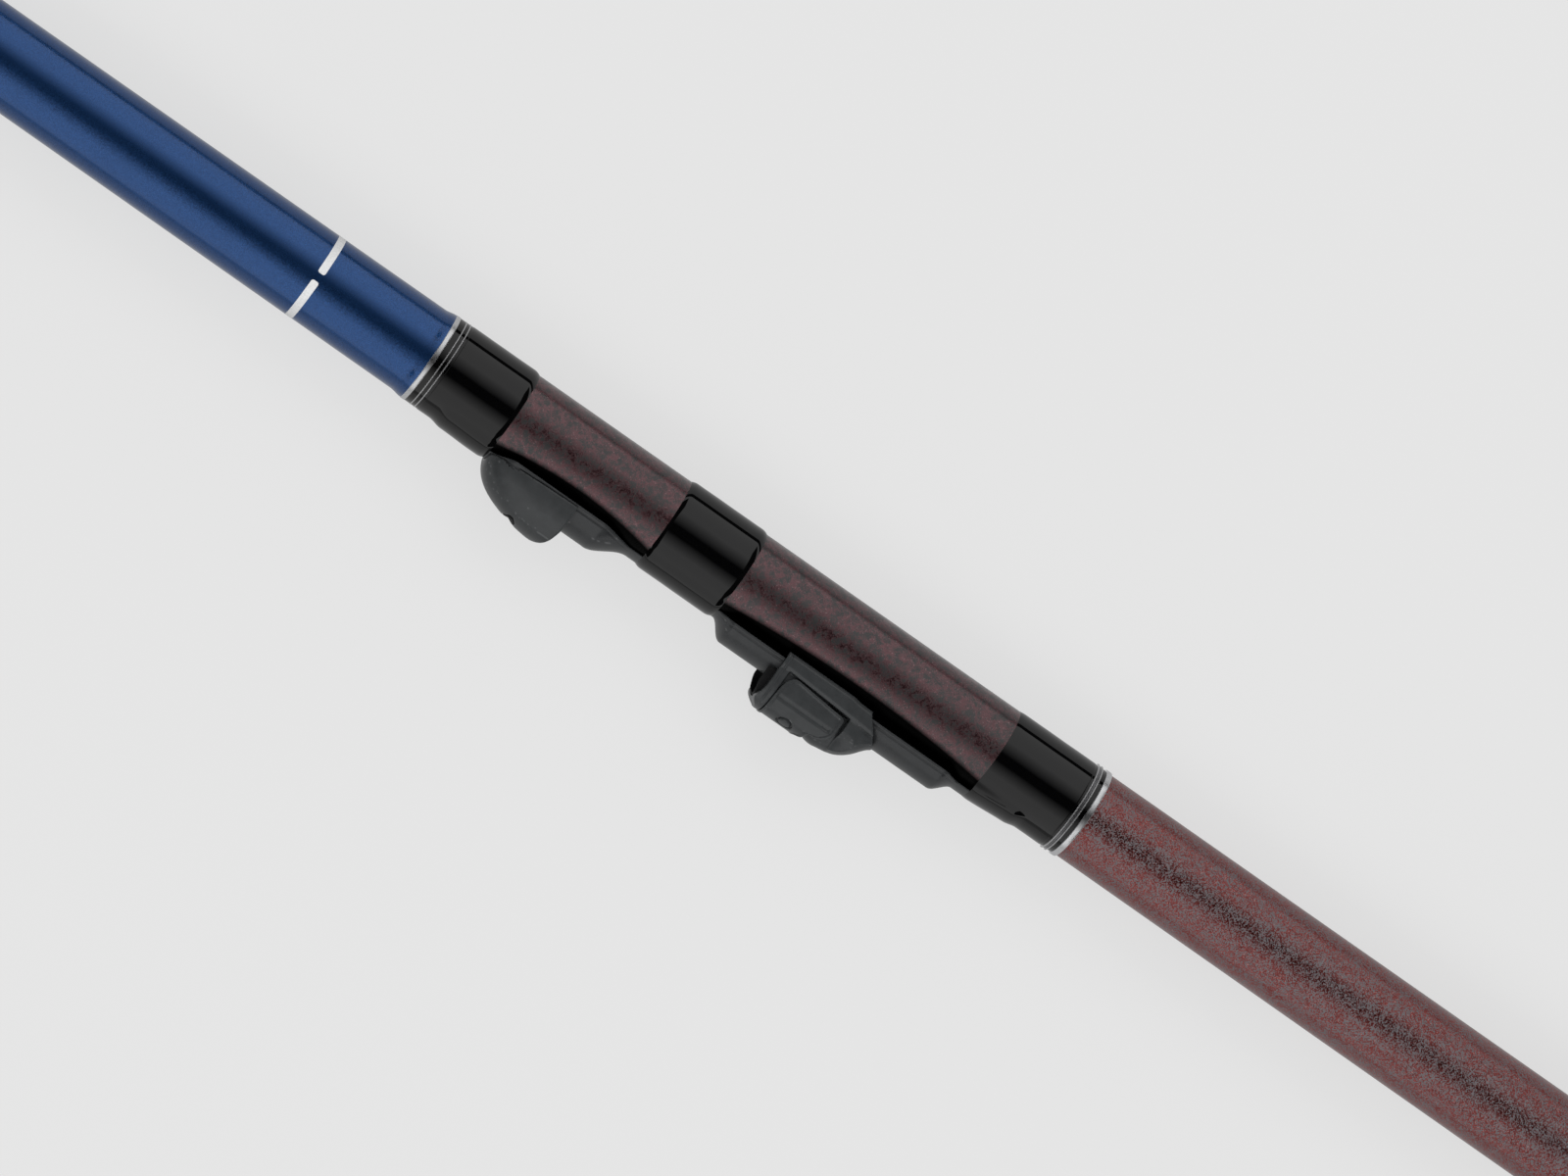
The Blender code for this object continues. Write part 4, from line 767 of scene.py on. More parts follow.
def finish_winding():
    material, tree, shader = new_finish(
        "glossed_winding", Coat_Weight=1.0, Coat_Roughness=0.02, Coat_IOR=1.5, Specular_IOR_Level=0.0
    )
    thread = use(tree, "WoundThread", Pitch=0.24, Strands=2.0)
    colour = blend_colours(tree, thread["Height"], (0.0006, 0.0006, 0.0006), (0.0016, 0.0016, 0.0018))
    tree.links.new(colour, shader["Base Color"])
    smudged(tree, shader, 0.3, 0.5, 5.0)
    raised(tree, shader, thread["Height"], 0.35, 0.04)
    return material


WINDING = finish_winding()
print(WINDING.name)

# %% [markdown]
# Finish: black fittings
#
# The plates are coated steel and the hoods moulded plastic. Both are dark grey and satin, with a
# grain that can only be seen close up. Their edges are painted lighter as a highlight, partly as
# wear from reel feet, and their creases are painted darker as shade. One function makes these and
# the finishes of all other fittings, because only the values differ.

# %% Plates, hoods and other fittings
# Each has its colour, the colour of its lighter edges (a painted highlight, partly wear), lowest
# and highest roughness, depth of grain in mm and how metallic it is.
FITTINGS = {
    "coated_plate": ((0.032, 0.034, 0.036), (0.09, 0.092, 0.095), (0.26, 0.36), 0.012, 0.0),
    "moulded_hood": ((0.041, 0.044, 0.046), (0.085, 0.089, 0.092), (0.28, 0.38), 0.015, 0.0),
    # The liner is black rubber made darker still: part is its own colour, part is painted shade inside the
    # hoods' mouths.
    "soft_liner": ((0.005, 0.005, 0.0055), (0.012, 0.012, 0.012), (0.7, 0.85), 0.03, 0.0),
    "cap_rubber": ((0.016, 0.016, 0.017), (0.03, 0.03, 0.03), (0.65, 0.8), 0.04, 0.0),
    "anodised_cap": ((0.03, 0.031, 0.034), (0.4, 0.4, 0.42), (0.22, 0.32), 0.006, 0.75),
    "turned_steel": ((0.5, 0.5, 0.51), (0.62, 0.62, 0.63), (0.2, 0.3), 0.004, 1.0),
    "guide_frame_metal": ((0.07, 0.07, 0.076), (0.25, 0.25, 0.26), (0.18, 0.28), 0.004, 0.9),
    "polished_ceramic": ((0.02, 0.02, 0.023), (0.03, 0.03, 0.033), (0.05, 0.1), 0.001, 0.0),
}

# How much of its colour a fitting keeps in its darker spots, and in creases under painted shade
DARK_SPOTS, CREASE_SHADE = 0.8, 0.25


def finish_fitting(name, colour, edge_light_and_wear, roughness, grain_depth, metallic):
    material, tree, shader = new_finish(name, Metallic=metallic, IOR=1.5)
    edges = use(tree, "EdgeLightWearAndCreaseShade", Start=0.54, Full=0.64, Patchiness=0.3)
    place = use(tree, "AroundRod")["Place"]
    tone = remap(tree, noise(tree, place, 0.5, 3.0), 0.3, 0.7)
    ground = blend_colours(tree, tone, tuple(DARK_SPOTS * value for value in colour), colour)
    # Painted shade darkens the creases, and a painted highlight, partly wear, lightens the edges.
    crease_shaded = blend_colours(tree, edges["Crease"], ground, tuple(CREASE_SHADE * value for value in colour))
    tree.links.new(blend_colours(tree, edges["Mask"], crease_shaded, edge_light_and_wear), shader["Base Color"])
    low, high = roughness
    smudged(tree, shader, low, high, 4.0)
    raised(tree, shader, use(tree, "MouldedGrain", Size=0.22)["Height"], 0.6, grain_depth)
    return material


fittings = [finish_fitting(name, *values) for name, values in FITTINGS.items()]
PLATE, HOOD, LINER, RUBBER, CAP_METAL, PIN_STEEL, GUIDE_METAL, CERAMIC = fittings
print("fittings:", ", ".join(FITTINGS))

# %% [markdown]
# Mesh helpers
#
# Real parts have no knife edges, so every profile is eased: each corner becomes a short curve that
# catches the light. Round parts are profiles carried once round the rod. The profile can change
# with the angle, which lets a winding bulge over a plate's foot or a cap have flutes.

# %% Easing, turning and lofting
# A corner's curve takes up at most this share of an edge, so two curves never meet.
MOST_EASED = 0.45


def eased(points, radius, steps=4, closed=True):
    """Rounds the corners of an outline with short curves; radius is where they begin."""
    done = []
    count = len(points)
    for i, corner in enumerate(points):
        corner = Vector(corner)
        if not closed and i in (0, count - 1):
            done.append(tuple(corner))
            continue
        before, after = Vector(points[i - 1]), Vector(points[(i + 1) % count])
        start = corner + (before - corner) * min(radius / (before - corner).length, MOST_EASED)
        end = corner + (after - corner) * min(radius / (after - corner).length, MOST_EASED)
        for step in range(steps + 1):
            t = step / steps
            done.append(tuple(start.lerp(corner, t).lerp(corner.lerp(end, t), t)))
    return done


def revolve(profile, sides, centre=(0.0, 0.0)):
    """A solid round a line along X from a profile of (x, radius), or from a function that gives
    one for each angle. Points of radius 0 close its ends."""
    shape = profile if callable(profile) else lambda angle: profile
    bm = bmesh.new()
    rings = []
    for i in range(sides):
        angle = math.tau * i / sides
        y, z = math.cos(angle), math.sin(angle)
        rings.append([bm.verts.new((x, centre[0] + r * y, centre[1] + r * z)) for x, r in shape(angle)])
    radii = [r for _, r in shape(0.0)]
    for ring, after in zip(rings, rings[1:] + rings[:1]):
        for j, radius in enumerate(radii):
            k = (j + 1) % len(radii)
            if radius > 0.0 or radii[k] > 0.0:
                bm.faces.new((ring[j], ring[k], after[k], after[j]))
    bmesh.ops.remove_doubles(bm, verts=bm.verts, dist=1e-5)
    return bm


def loft(loops):
    """Skins closed loops of equal length and caps both ends."""
    bm = bmesh.new()
    rings = [[bm.verts.new(point) for point in loop] for loop in loops]
    for ring, after in zip(rings, rings[1:]):
        for i in range(len(ring)):
            j = (i + 1) % len(ring)
            bm.faces.new((ring[i], ring[j], after[j], after[i]))
    bm.faces.new(reversed(rings[0]))
    bm.faces.new(rings[-1])
    return bm


def stations(start, end, step):
    """Evenly spaced places from start to end, both included."""
    count = max(1, math.ceil(abs(end - start) / step))
    return [start + (end - start) * i / count for i in range(count + 1)]


def smooth_step(value):
    value = min(max(value, 0.0), 1.0)
    return value * value * (3.0 - 2.0 * value)


print("mesh helpers ready")

# %% [markdown]
# Placing a piece
#
# Each finished mesh goes through one door: it is scaled to metres, shaded smooth with normals
# weighted by face size, hung on the body it moves with, given its material, and set in
# the place of the CAD pieces it stands for.

# %% Place a piece
made = []
BODY_OF = {node: body for body, nodes in frame["record"]["behaviour"]["bodies"].items() for node in nodes}


def new_object(name, bm):
    bmesh.ops.scale(bm, vec=(MM, MM, MM), verts=bm.verts)
    bmesh.ops.recalc_face_normals(bm, faces=bm.faces)
    mesh = bpy.data.meshes.new(name)
    bm.to_mesh(mesh)
    bm.free()
    return in_scene(name, mesh)


def settle(obj, finish, node, stands_in=True):
    """Gives an object its material and the body of a CAD piece, which it may stand in for."""
    obj.data.materials.clear()
    obj.data.materials.append(finish)
    obj.data.shade_smooth()
    obj.data.set_sharp_from_angle(angle=math.radians(50.0))
    even = obj.modifiers.new("even_shading", "WEIGHTED_NORMAL")
    even.keep_sharp = True
    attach(obj, BODY_OF[node])
    if stands_in:
        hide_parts(node)
    made.append(obj.name)
    return obj


def place(name, bm, finish, node, stands_in=True):
    return settle(new_object(name, bm), finish, node, stands_in)


ROUND = 96
print("one door for every piece")

# %% [markdown]
# The butt blank
#
# The blank is one carbon tube with three lacquers. It is made as lengths that meet under the
# silver bands and inside the windings, so each can carry its own finish: maroon, black varnish at
# both ends of the seat, maroon over tape between them, and blue. The varnish runs a little onto
# the blue, which shows in the outline as a low step, so the blue length swells there.

# %% Lengths of blank
BLANK_WALL = 1.0
VARNISH_STEP, REAR_VARNISH_STEP = 0.35, 0.1
COVERED = 3.0
VARNISH_REACH = 2.6
REAR_JOIN = sum(span("rear_silver_ring")) / 2.0
FRONT_JOIN = sum(span("front_silver_ring")) / 2.0
VARNISH_END = span("front_silver_ring")[1] + VARNISH_REACH


def blank_length(start, end, swell=lambda x: 0.0, step=8.0):
    """A length of the tapered tube, as a closed profile for revolve."""
    outer = [(x, blank_radius(x) + swell(x)) for x in stations(start, end, step)]
    inner = [(end, blank_radius(end) - BLANK_WALL), (start, blank_radius(start) - BLANK_WALL)]
    return outer + inner


def varnish_swell(x):
    return VARNISH_STEP * smooth_step((VARNISH_END - x) / VARNISH_REACH)


def front_profile():
    """The varnish's low step in short stations, then the plain tube, as one closed profile."""
    near = blank_length(FRONT_JOIN, VARNISH_END, varnish_swell, step=0.2)[:-2]
    far = blank_length(VARNISH_END + 1.0, BUTT_END)
    return near + far + [(FRONT_JOIN, blank_radius(FRONT_JOIN) - BLANK_WALL)]


def varnished(start, end, lift):
    return blank_length(start, end, lambda x: lift)


REAR_COVER = span("rear_whipping")[0] + COVERED
FRONT_COVER = span("front_whipping")[1] - COVERED
LENGTHS = {
    "blank_behind_seat": (eased(blank_length(BUTT_START, REAR_JOIN), 0.15, steps=2), MAROON_FLAKE),
    "blank_under_rear_bands": (varnished(REAR_JOIN, REAR_COVER, REAR_VARNISH_STEP), WINDING),
    "blank_under_seat": (blank_length(REAR_COVER, FRONT_COVER), MAROON_TAPE),
    "blank_under_front_bands": (varnished(FRONT_COVER, FRONT_JOIN, VARNISH_STEP), WINDING),
    "blank_ahead_of_seat": (front_profile(), BLUE),
}
for name, (profile, finish) in LENGTHS.items():
    place(name, revolve(profile, ROUND), finish, "butt_blank")
print("blank lengths meet at", round(REAR_JOIN, 1), "and", round(FRONT_JOIN, 1), "mm")

# %% [markdown]
# The printed ring
#
# A white ring is printed on the blue, with a short gap on the side that faces the camera. Ink has
# almost no thickness, so the ring is a curved patch that stands a hair off the lacquer, with
# rounded corners at the gap. Real geometry keeps its edge crisp at any distance.

# %% Printed ring
PRINT_START = SEAT_DATUM + 198.2
PRINT_WIDTH = 1.7
PRINT_LIFT = 0.03
# The ring's two ends at the gap, as places across the rod
PRINT_GAP = (-1.2, 0.6)
PRINT_CORNER, CORNER_STEPS = 0.5, 6
PRINT_STEP = 0.5


def printed_ring():
    """A thin strip that is skinned along its length, in shorter steps round its corners."""
    middle = PRINT_START + PRINT_WIDTH / 2.0
    radius = blank_radius(middle)
    first, last = (math.acos(y / radius) for y in PRINT_GAP)
    turn = math.tau - (first - last)
    length = turn * radius
    bm = bmesh.new()
    rows = []
    turns = [math.pi / 2.0 * i / CORNER_STEPS for i in range(CORNER_STEPS + 1)]
    near_ends = [PRINT_CORNER * (1.0 - math.cos(value)) for value in turns]
    between = stations(2.0 * PRINT_STEP, length - 2.0 * PRINT_STEP, PRINT_STEP)
    places = near_ends + between + [length - value for value in reversed(near_ends)]
    for along in places:
        near = min(along, length - along, PRINT_CORNER)
        cut = PRINT_CORNER - math.sqrt(max(0.0, PRINT_CORNER**2 - (PRINT_CORNER - near) ** 2))
        angle = first + along / radius
        start, end = PRINT_START + cut, PRINT_START + PRINT_WIDTH - cut
        row = []
        for x, lift in ((start, 0.0), (start, PRINT_LIFT), (end, PRINT_LIFT), (end, 0.0)):
            r = blank_radius(x) + lift
            row.append(bm.verts.new((x, r * math.cos(angle), r * math.sin(angle))))
        rows.append(row)
    for row, after in zip(rows, rows[1:]):
        for i in range(4):
            j = (i + 1) % 4
            bm.faces.new((row[i], row[j], after[j], after[i]))
    bm.faces.new(reversed(rows[0]))
    bm.faces.new(rows[-1])
    return bm


place("printed_ring", printed_ring(), WHITE_PRINT, "butt_blank", stands_in=False)
print("printed ring", PRINT_WIDTH, "mm wide")

# %% [markdown]
# Silver bands and accent threads
#
# A band is a domed strip of foil. An accent is a bright thread at each side with finer turns
# between them. The turns are real ridges: the radius follows a row of half circles, and it climbs
# by one thread in each turn, so they form a helix.

# %% Bands and accents
BAND_HEIGHT = 0.42
BAND_FULLNESS = 6.0
LINE_WIDTH = 0.4
LINE_HEIGHT = 0.46
THREAD_WIDTH = 0.22
THREAD_BASE = 0.14

# A little less than 4, which would take a ridge's half circle right down to the valley
RIDGE_CURVE = 3.6
# Keeps the ends of a dome apart from the corners of its base
HAIR = 0.001
# How deep the underside of a winding lies in the lacquer
SUNK = 0.05


def domed_band(start, end, height=BAND_HEIGHT, fullness=BAND_FULLNESS, steps=14):
    middle, half = (start + end) / 2.0, (end - start) / 2.0
    profile = [(end, blank_radius(end)), (start, blank_radius(start))]
    for i in range(steps + 1):
        angle = math.pi * (1.0 - i / steps)
        x = middle + half * math.copysign(abs(math.cos(angle)) ** (2.0 / fullness), math.cos(angle))
        profile.append((x, blank_radius(x) + height * math.sin(angle) ** (2.0 / fullness) + HAIR))
    return profile


def thread_ridge(x, angle, start, end, pitch):
    """Height of a wound thread's surface, falling to nothing at both ends of the winding."""
    across = ((x - start) / pitch - angle / math.tau) % 1.0 - 0.5
    edge = min(x - start, end - x) / (pitch / 2.0)
    return math.sqrt(1.0 - RIDGE_CURVE * across * across) * math.sqrt(min(max(edge, 0.0), 1.0))


def sunk_base(start, end):
    """The underside of a winding, as the last two points of its profile."""
    return [(end, blank_radius(end) - SUNK), (start, blank_radius(start) - SUNK)]


def thread_band(start, end, pitch=THREAD_WIDTH, base=THREAD_BASE, step=0.03):
    """Turns of thread side by side round the blank, as a profile for each angle."""

    def profile(angle):
        outer = []
        for x in stations(start, end, step):
            ridge = pitch / 2.0 * thread_ridge(x, angle, start, end, pitch)
            outer.append((x, blank_radius(x) + base + ridge))
        return outer + sunk_base(start, end)

    return profile


for node in ("rear_silver_ring", "front_silver_ring"):
    place(f"{node}_foil", revolve(domed_band(*span(node)), ROUND), SILVER, node)
for node in ("rear_accent_thread", "front_accent_thread"):
    start, end = span(node)
    turns = thread_band(start + LINE_WIDTH, end - LINE_WIDTH)
    place(f"{node}_turns", revolve(turns, ROUND), SILVER_THREAD, node)
    for side, line_start in (("rear", start), ("front", end - LINE_WIDTH)):
        line = domed_band(line_start, line_start + LINE_WIDTH, LINE_HEIGHT, fullness=2.0)
        place(f"{node}_{side}_line", revolve(line, ROUND), LINE_THREAD, node)
print("bands and accents placed")

# %% [markdown]
# The windings
#
# Three windings bind the feet of the seat plates to the blank. Varnish makes each one a smooth
# barrel. Where it ends on bare lacquer it rolls off in a round shoulder, which is what draws the
# rounded corners in the reflections. Over a foot the whole winding lifts.

# %% Windings over the blank
WINDING_WALL = 0.4
THIN_WALL = 0.14
WINDING_GAP = 0.1
SHOULDER_LENGTH = 1.5
SHORT_EDGE = 0.35
SHOULDER_STEPS = 16
LEAST_WALL = 0.02
VARNISH_WAVE = 0.012
FOOT_THICKNESS = 0.4
FOOT_HALF_WIDTH = 5.7
FOOT_TAPER = 3.0
REAR_FOOT_END = span("rear_seat_plate")[0]
FRONT_FOOT_END = SEAT_DATUM + 160.6

# Where a foot starts to bend up, which way it runs from there, over what length and how high. The
# bend has gone again a few such lengths further on, where the plate is raised.
FOOT_SPRINGS = ((SEAT_DATUM + 17.0, 1.0, 12.0, 0.62), (SEAT_DATUM + 161.0, -1.0, 8.0, 0.17))
SPRING_LENGTHS = 4.0

# How far past a foot's edge the winding starts to come down to the blank, and over what angle
FOOT_EDGE_ANGLE = math.asin(FOOT_HALF_WIDTH / blank_radius(SEAT_DATUM))
COVER_PAST, COVER_FADE = math.radians(4.0), math.radians(14.0)


def foot_spring(x):
    """How far a foot is bent up from the blank, towards the raised part of its plate."""
    sprung = 0.0
    for start, side, length, height in FOOT_SPRINGS:
        gone = side * (x - start) / length
        sprung += height * smooth_step(gone) * smooth_step(SPRING_LENGTHS - gone)
    return sprung


def foot_cover(angle):
    """1 over a plate's foot, 0 round the rest of the blank, for an angle from the reel side."""
    from_reel_side = abs(math.remainder(angle, math.tau))
    return 1.0 - smooth_step((from_reel_side - FOOT_EDGE_ANGLE - COVER_PAST) / COVER_FADE)


def foot_lift(x, foot):
    """1 where a foot lies under the winding, falling to 0 past its end. None means feet all along."""
    if foot is None:
        return 1.0
    end, side = foot
    return 1.0 - smooth_step(side * (x - end) / FOOT_TAPER)


def shoulder(distance, length):
    """0 at a winding's end and 1 past its shoulder, which is a quarter of a barrel."""
    return 1.0 - (1.0 - min(max(distance / length, 0.0), 1.0)) ** 2


def varnish_wave(x, angle):
    """The slow swells that a brush leaves along and round a winding."""
    return VARNISH_WAVE * math.sin(0.75 * x + 1.3 * math.sin(2.0 * angle)) * math.sin(angle + 0.21 * x)


def winding(start, end, foot, shoulders, full_wall):
    """A winding's profile for each angle, with its shoulders and its lift over a foot."""
    rear, front = shoulders
    shares = [i / SHOULDER_STEPS for i in range(SHOULDER_STEPS)]
    edges = [start + rear * share for share in shares] + [end - front * share for share in shares]
    places = sorted(set(edges + stations(start + rear, end - front, 0.35)))

    def profile(angle):
        outer = []
        for x in places:
            wall = full_wall * min(shoulder(x - start, rear), shoulder(end - x, front))
            lift = foot_lift(x, foot) * (FOOT_THICKNESS + WINDING_GAP + foot_spring(x)) * foot_cover(angle)
            wave = varnish_wave(x, angle) * min(wall / full_wall, 1.0)
            outer.append((x, blank_radius(x) + LEAST_WALL + lift + wall + wave))
        return outer + sunk_base(start, end)

    return profile


# Where the foot under it ends and to which side that is, its rear and front shoulders, and its wall
WINDINGS = {
    "rear_whipping": ((REAR_FOOT_END, -1.0), (SHORT_EDGE, SHOULDER_LENGTH), THIN_WALL),
    "middle_whipping": (None, (SHOULDER_LENGTH, SHOULDER_LENGTH), WINDING_WALL),
    "front_whipping": ((FRONT_FOOT_END, 1.0), (SHOULDER_LENGTH, SHORT_EDGE), WINDING_WALL),
}
for node, (foot, shoulders, wall) in WINDINGS.items():
    shape = winding(*span(node), foot, shoulders, wall)
    place(f"{node}_varnished", revolve(shape, 160), WINDING, node)
print("windings:", ", ".join(WINDINGS))

# %% [markdown]
# The seat plates
#
# Each plate is a pressed steel strip, arched to the blank, raised where the reel foot rests and
# stepped down to a foot at both ends. We walk along it and skin one cross-section after another.
# A real press leaves a rolled edge, so a fine groove runs along both sides.

# %% Cross-section of a plate
PLATE_RADIUS = 9.1
PLATE_THICKNESS = 0.7
FOOT_END_HALF_WIDTH = 2.6
# Distance from the edge, width and depth
EDGE_GROOVE = (0.95, 0.24, 0.2)
REST_DEPTH, REST_RAMP = 0.05, 0.5
UNDERSIDE_STEPS, ROUND_EDGE_STEPS = 20, 6


def strip_loop(x, crown, half_width, edge_height, thickness, groove=1.0, steps=120):
    """A closed loop round an arched strip: outer arc with its edge grooves, round edges, inner arc."""
    rise = crown - edge_height
    radius = (half_width**2 + rise**2) / (2.0 * rise)
    half_angle = math.atan2(half_width, radius - rise)
    centre = crown - radius
    inset, width, depth = EDGE_GROOVE
    loop = []

    def point(angle, r):
        loop.append((x, centre + r * math.cos(angle), r * math.sin(angle)))

    edge_angle = half_angle - 0.5 * thickness / radius
    for i in range(steps + 1):
        angle = edge_angle * (2.0 * i / steps - 1.0)
        from_edge = (half_angle - abs(angle)) * radius
        point(angle, radius - groove * depth * math.exp(-(((from_edge - inset) / width) ** 2)))
    down = range(1, ROUND_EDGE_STEPS)
    for side, order in ((1.0, down), (-1.0, reversed(down))):
        if side < 0.0:
            for i in range(UNDERSIDE_STEPS + 1):
                point(edge_angle * (1.0 - 2.0 * i / UNDERSIDE_STEPS), radius - thickness)
        for i in order:
            round_edge = math.pi * i / ROUND_EDGE_STEPS
            reach = 0.5 * thickness / radius * math.sin(round_edge)
            point(side * (edge_angle + reach), radius - 0.5 * thickness * (1.0 - math.cos(round_edge)))
    return loop


def foot_crown(x):
    return blank_radius(x) + WINDING_GAP + FOOT_THICKNESS + foot_spring(x)


def foot_loop(x, half_width):
    outer = foot_crown(x)
    return strip_loop(x, outer, half_width, math.sqrt(outer**2 - half_width**2), FOOT_THICKNESS, groove=0.0)


print("points round a plate:", len(foot_loop(SEAT_DATUM, FOOT_HALF_WIDTH)))

# %% Walk along a plate
# Every place on the seat is a distance ahead of the datum, as on the CAD drawing.
REAR_PLATE = {
    "ends": (19.0, 102.0), "flat": (36.0, 88.4), "ramps": (4.2, 4.1), "rest": (77.7, 89.0),
    "crown": 13.95, "edge": 8.8, "half_width": 8.14,
}
FRONT_PLATE = {
    "ends": (103.0, 160.6), "flat": (122.8, 144.0), "ramps": (8.5, 5.7), "rest": (123.0, 128.1),
    "crown": 13.9, "edge": 7.3, "half_width": 8.72,
}


def plate_rise(plate, ahead):
    """0 on the feet, 1 on the raised part, and a smooth ramp between them."""
    flat, ramps = plate["flat"], plate["ramps"]
    return min(
        smooth_step((ahead - flat[0] + ramps[0]) / ramps[0]),
        smooth_step((flat[1] + ramps[1] - ahead) / ramps[1]),
    )


def plate_crown(plate, ahead):
    """Height of a plate's outer face on the reel side, pressed in where the reel foot rests."""
    low = foot_crown(SEAT_DATUM + ahead)
    rise = plate_rise(plate, ahead)
    start, end = plate["rest"]
    inside = smooth_step((ahead - start + REST_RAMP) / REST_RAMP)
    inside *= smooth_step((end + REST_RAMP - ahead) / REST_RAMP)
    return low + rise * (plate["crown"] - low) - REST_DEPTH * inside * rise


def plate_loop(plate, ahead):
    x = SEAT_DATUM + ahead
    low = foot_crown(x)
    low_edge = math.sqrt(low**2 - FOOT_HALF_WIDTH**2)
    rise = plate_rise(plate, ahead)
    from_end = min(ahead - plate["ends"][0], plate["ends"][1] - ahead)
    if from_end < FOOT_TAPER:
        growth = math.sin(max(from_end, 0.0) / FOOT_TAPER * math.pi / 2.0)
        return foot_loop(x, FOOT_END_HALF_WIDTH + growth * (FOOT_HALF_WIDTH - FOOT_END_HALF_WIDTH))
    if rise == 0.0:
        return foot_loop(x, FOOT_HALF_WIDTH)
    return strip_loop(
        x,
        plate_crown(plate, ahead),
        FOOT_HALF_WIDTH + rise * (plate["half_width"] - FOOT_HALF_WIDTH),
        low_edge + rise * (plate["edge"] - low_edge),
        FOOT_THICKNESS + rise * (PLATE_THICKNESS - FOOT_THICKNESS),
        groove=rise,
    )


for node, plate in (("rear_seat_plate", REAR_PLATE), ("front_seat_plate", FRONT_PLATE)):
    loops = [plate_loop(plate, ahead) for ahead in stations(*plate["ends"], 0.3)]
    place(f"{node}_pressed", loft(loops), PLATE, node)
print("both plates walked in 0.3 mm steps")

# %% [markdown]
# Sculpting the hoods
#
# A hood is a moulded shell with pockets, slots and holes, and every edge of it is soft. We build it
# as a moulder would think of it: an outer form, minus the spaces inside. Then the solid is remeshed
# with very fine voxels and smoothed a little, which rounds all edges by the same small amount.

# %% Sculpting helpers


def block(bm):
    """A helper solid, in mm, for a Boolean."""
    bmesh.ops.recalc_face_normals(bm, faces=bm.faces)
    mesh = bpy.data.meshes.new("block")
    bm.to_mesh(mesh)
    bm.free()
    return in_scene("block", mesh)


def finished_mesh(obj):
    """The mesh that an object's modifiers make. The object itself is removed."""
    graph = bpy.context.evaluated_depsgraph_get()
    mesh = bpy.data.meshes.new_from_object(obj.evaluated_get(graph))
    bpy.data.objects.remove(obj)
    return mesh


def carve(form, *steps):
    """A helper solid after a chain of Booleans, each given as (operation, tool)."""
    body = form if isinstance(form, bpy.types.Object) else block(form)
    for operation, tool in steps:
        helper = tool if isinstance(tool, bpy.types.Object) else block(tool)
        step = body.modifiers.new(operation.lower(), "BOOLEAN")
        step.operation = operation
        step.solver = "EXACT"
        step.object = helper
        mesh = finished_mesh(body)
        bpy.data.objects.remove(helper)
        body = in_scene("block", mesh)
    return body


def soften(name, body, voxel=0.2, rounds=4):
    """A helper solid with all its edges rounded a little, as a new object in metres."""
    remesh = body.modifiers.new("fine_voxels", "REMESH")
    remesh.mode = "VOXEL"
    remesh.voxel_size = voxel
    smooth = body.modifiers.new("soft_edges", "SMOOTH")
    smooth.factor = 0.5
    smooth.iterations = rounds
    mesh = finished_mesh(body)
    mesh.transform(Matrix.Scale(MM, 4))
    mesh.name = name
    obj = in_scene(name, mesh)
    print(f"{name}: {len(mesh.polygons)} faces")
    return obj


def prism(outline, half_depth=20.0):
    """Extrudes a side outline of (distance ahead of the datum, height) points across the rod."""
    points = [(SEAT_DATUM + ahead, height) for ahead, height in outline]
    return loft([[(x, y, depth) for x, y in points] for depth in (-half_depth, half_depth)])


def curve_through(rows):
    """A function that reads a table of (place, values...) with smooth curves that never overshoot."""
    rows = sorted(rows)
    places, *columns = zip(*rows)

    def slopes(values):
        steps = [(b - a) / (q - p) for a, b, p, q in zip(values, values[1:], places, places[1:])]
        inner = [0.0 if a * b <= 0.0 else 2.0 * a * b / (a + b) for a, b in zip(steps, steps[1:])]
        return [steps[0], *inner, steps[-1]]

    tangents = [slopes(values) for values in columns]

    def read(at):
        at = min(max(at, places[0]), places[-1])
        i = max(k for k in range(len(places) - 1) if places[k] <= at)
        width = places[i + 1] - places[i]
        t = (at - places[i]) / width
        return [
            (2 * t**3 - 3 * t**2 + 1) * values[i] + (t**3 - 2 * t**2 + t) * width * slope[i]
            + (3 * t**2 - 2 * t**3) * values[i + 1] + (t**3 - t**2) * width * slope[i + 1]
            for values, slope in zip(columns, tangents)
        ]

    return read


def oval_peg(ahead, low, high, half_length, half_across, sides=32, across=0.0):
    """An upright peg with an oval outline, on the reel side."""
    x = SEAT_DATUM + ahead
    angles = [math.tau * i / sides for i in range(sides)]
    oval = [(x + half_length * math.cos(a), across + half_across * math.sin(a)) for a in angles]
    return loft([[(along, height, side) for along, side in oval] for height in (low, high)])


print("sculpting helpers ready")

# %% [markdown]
# Room for the plate
#
# Both hoods sit over an arched plate. This helper makes everything on the blank's side of a plate's
# outer face, grown by a small gap. Cut from a hood, it leaves a base that fits the plate exactly.

# %% Space under a plate's face
# Below the arch the space steps out to both sides and runs down past the middle of the blank.
SPACE_SWEEP, SPACE_STEPS = math.radians(88.0), 28
SPACE_DROP, SPACE_WIDENING, SPACE_FLOOR = 0.7, 6.0, -6.0


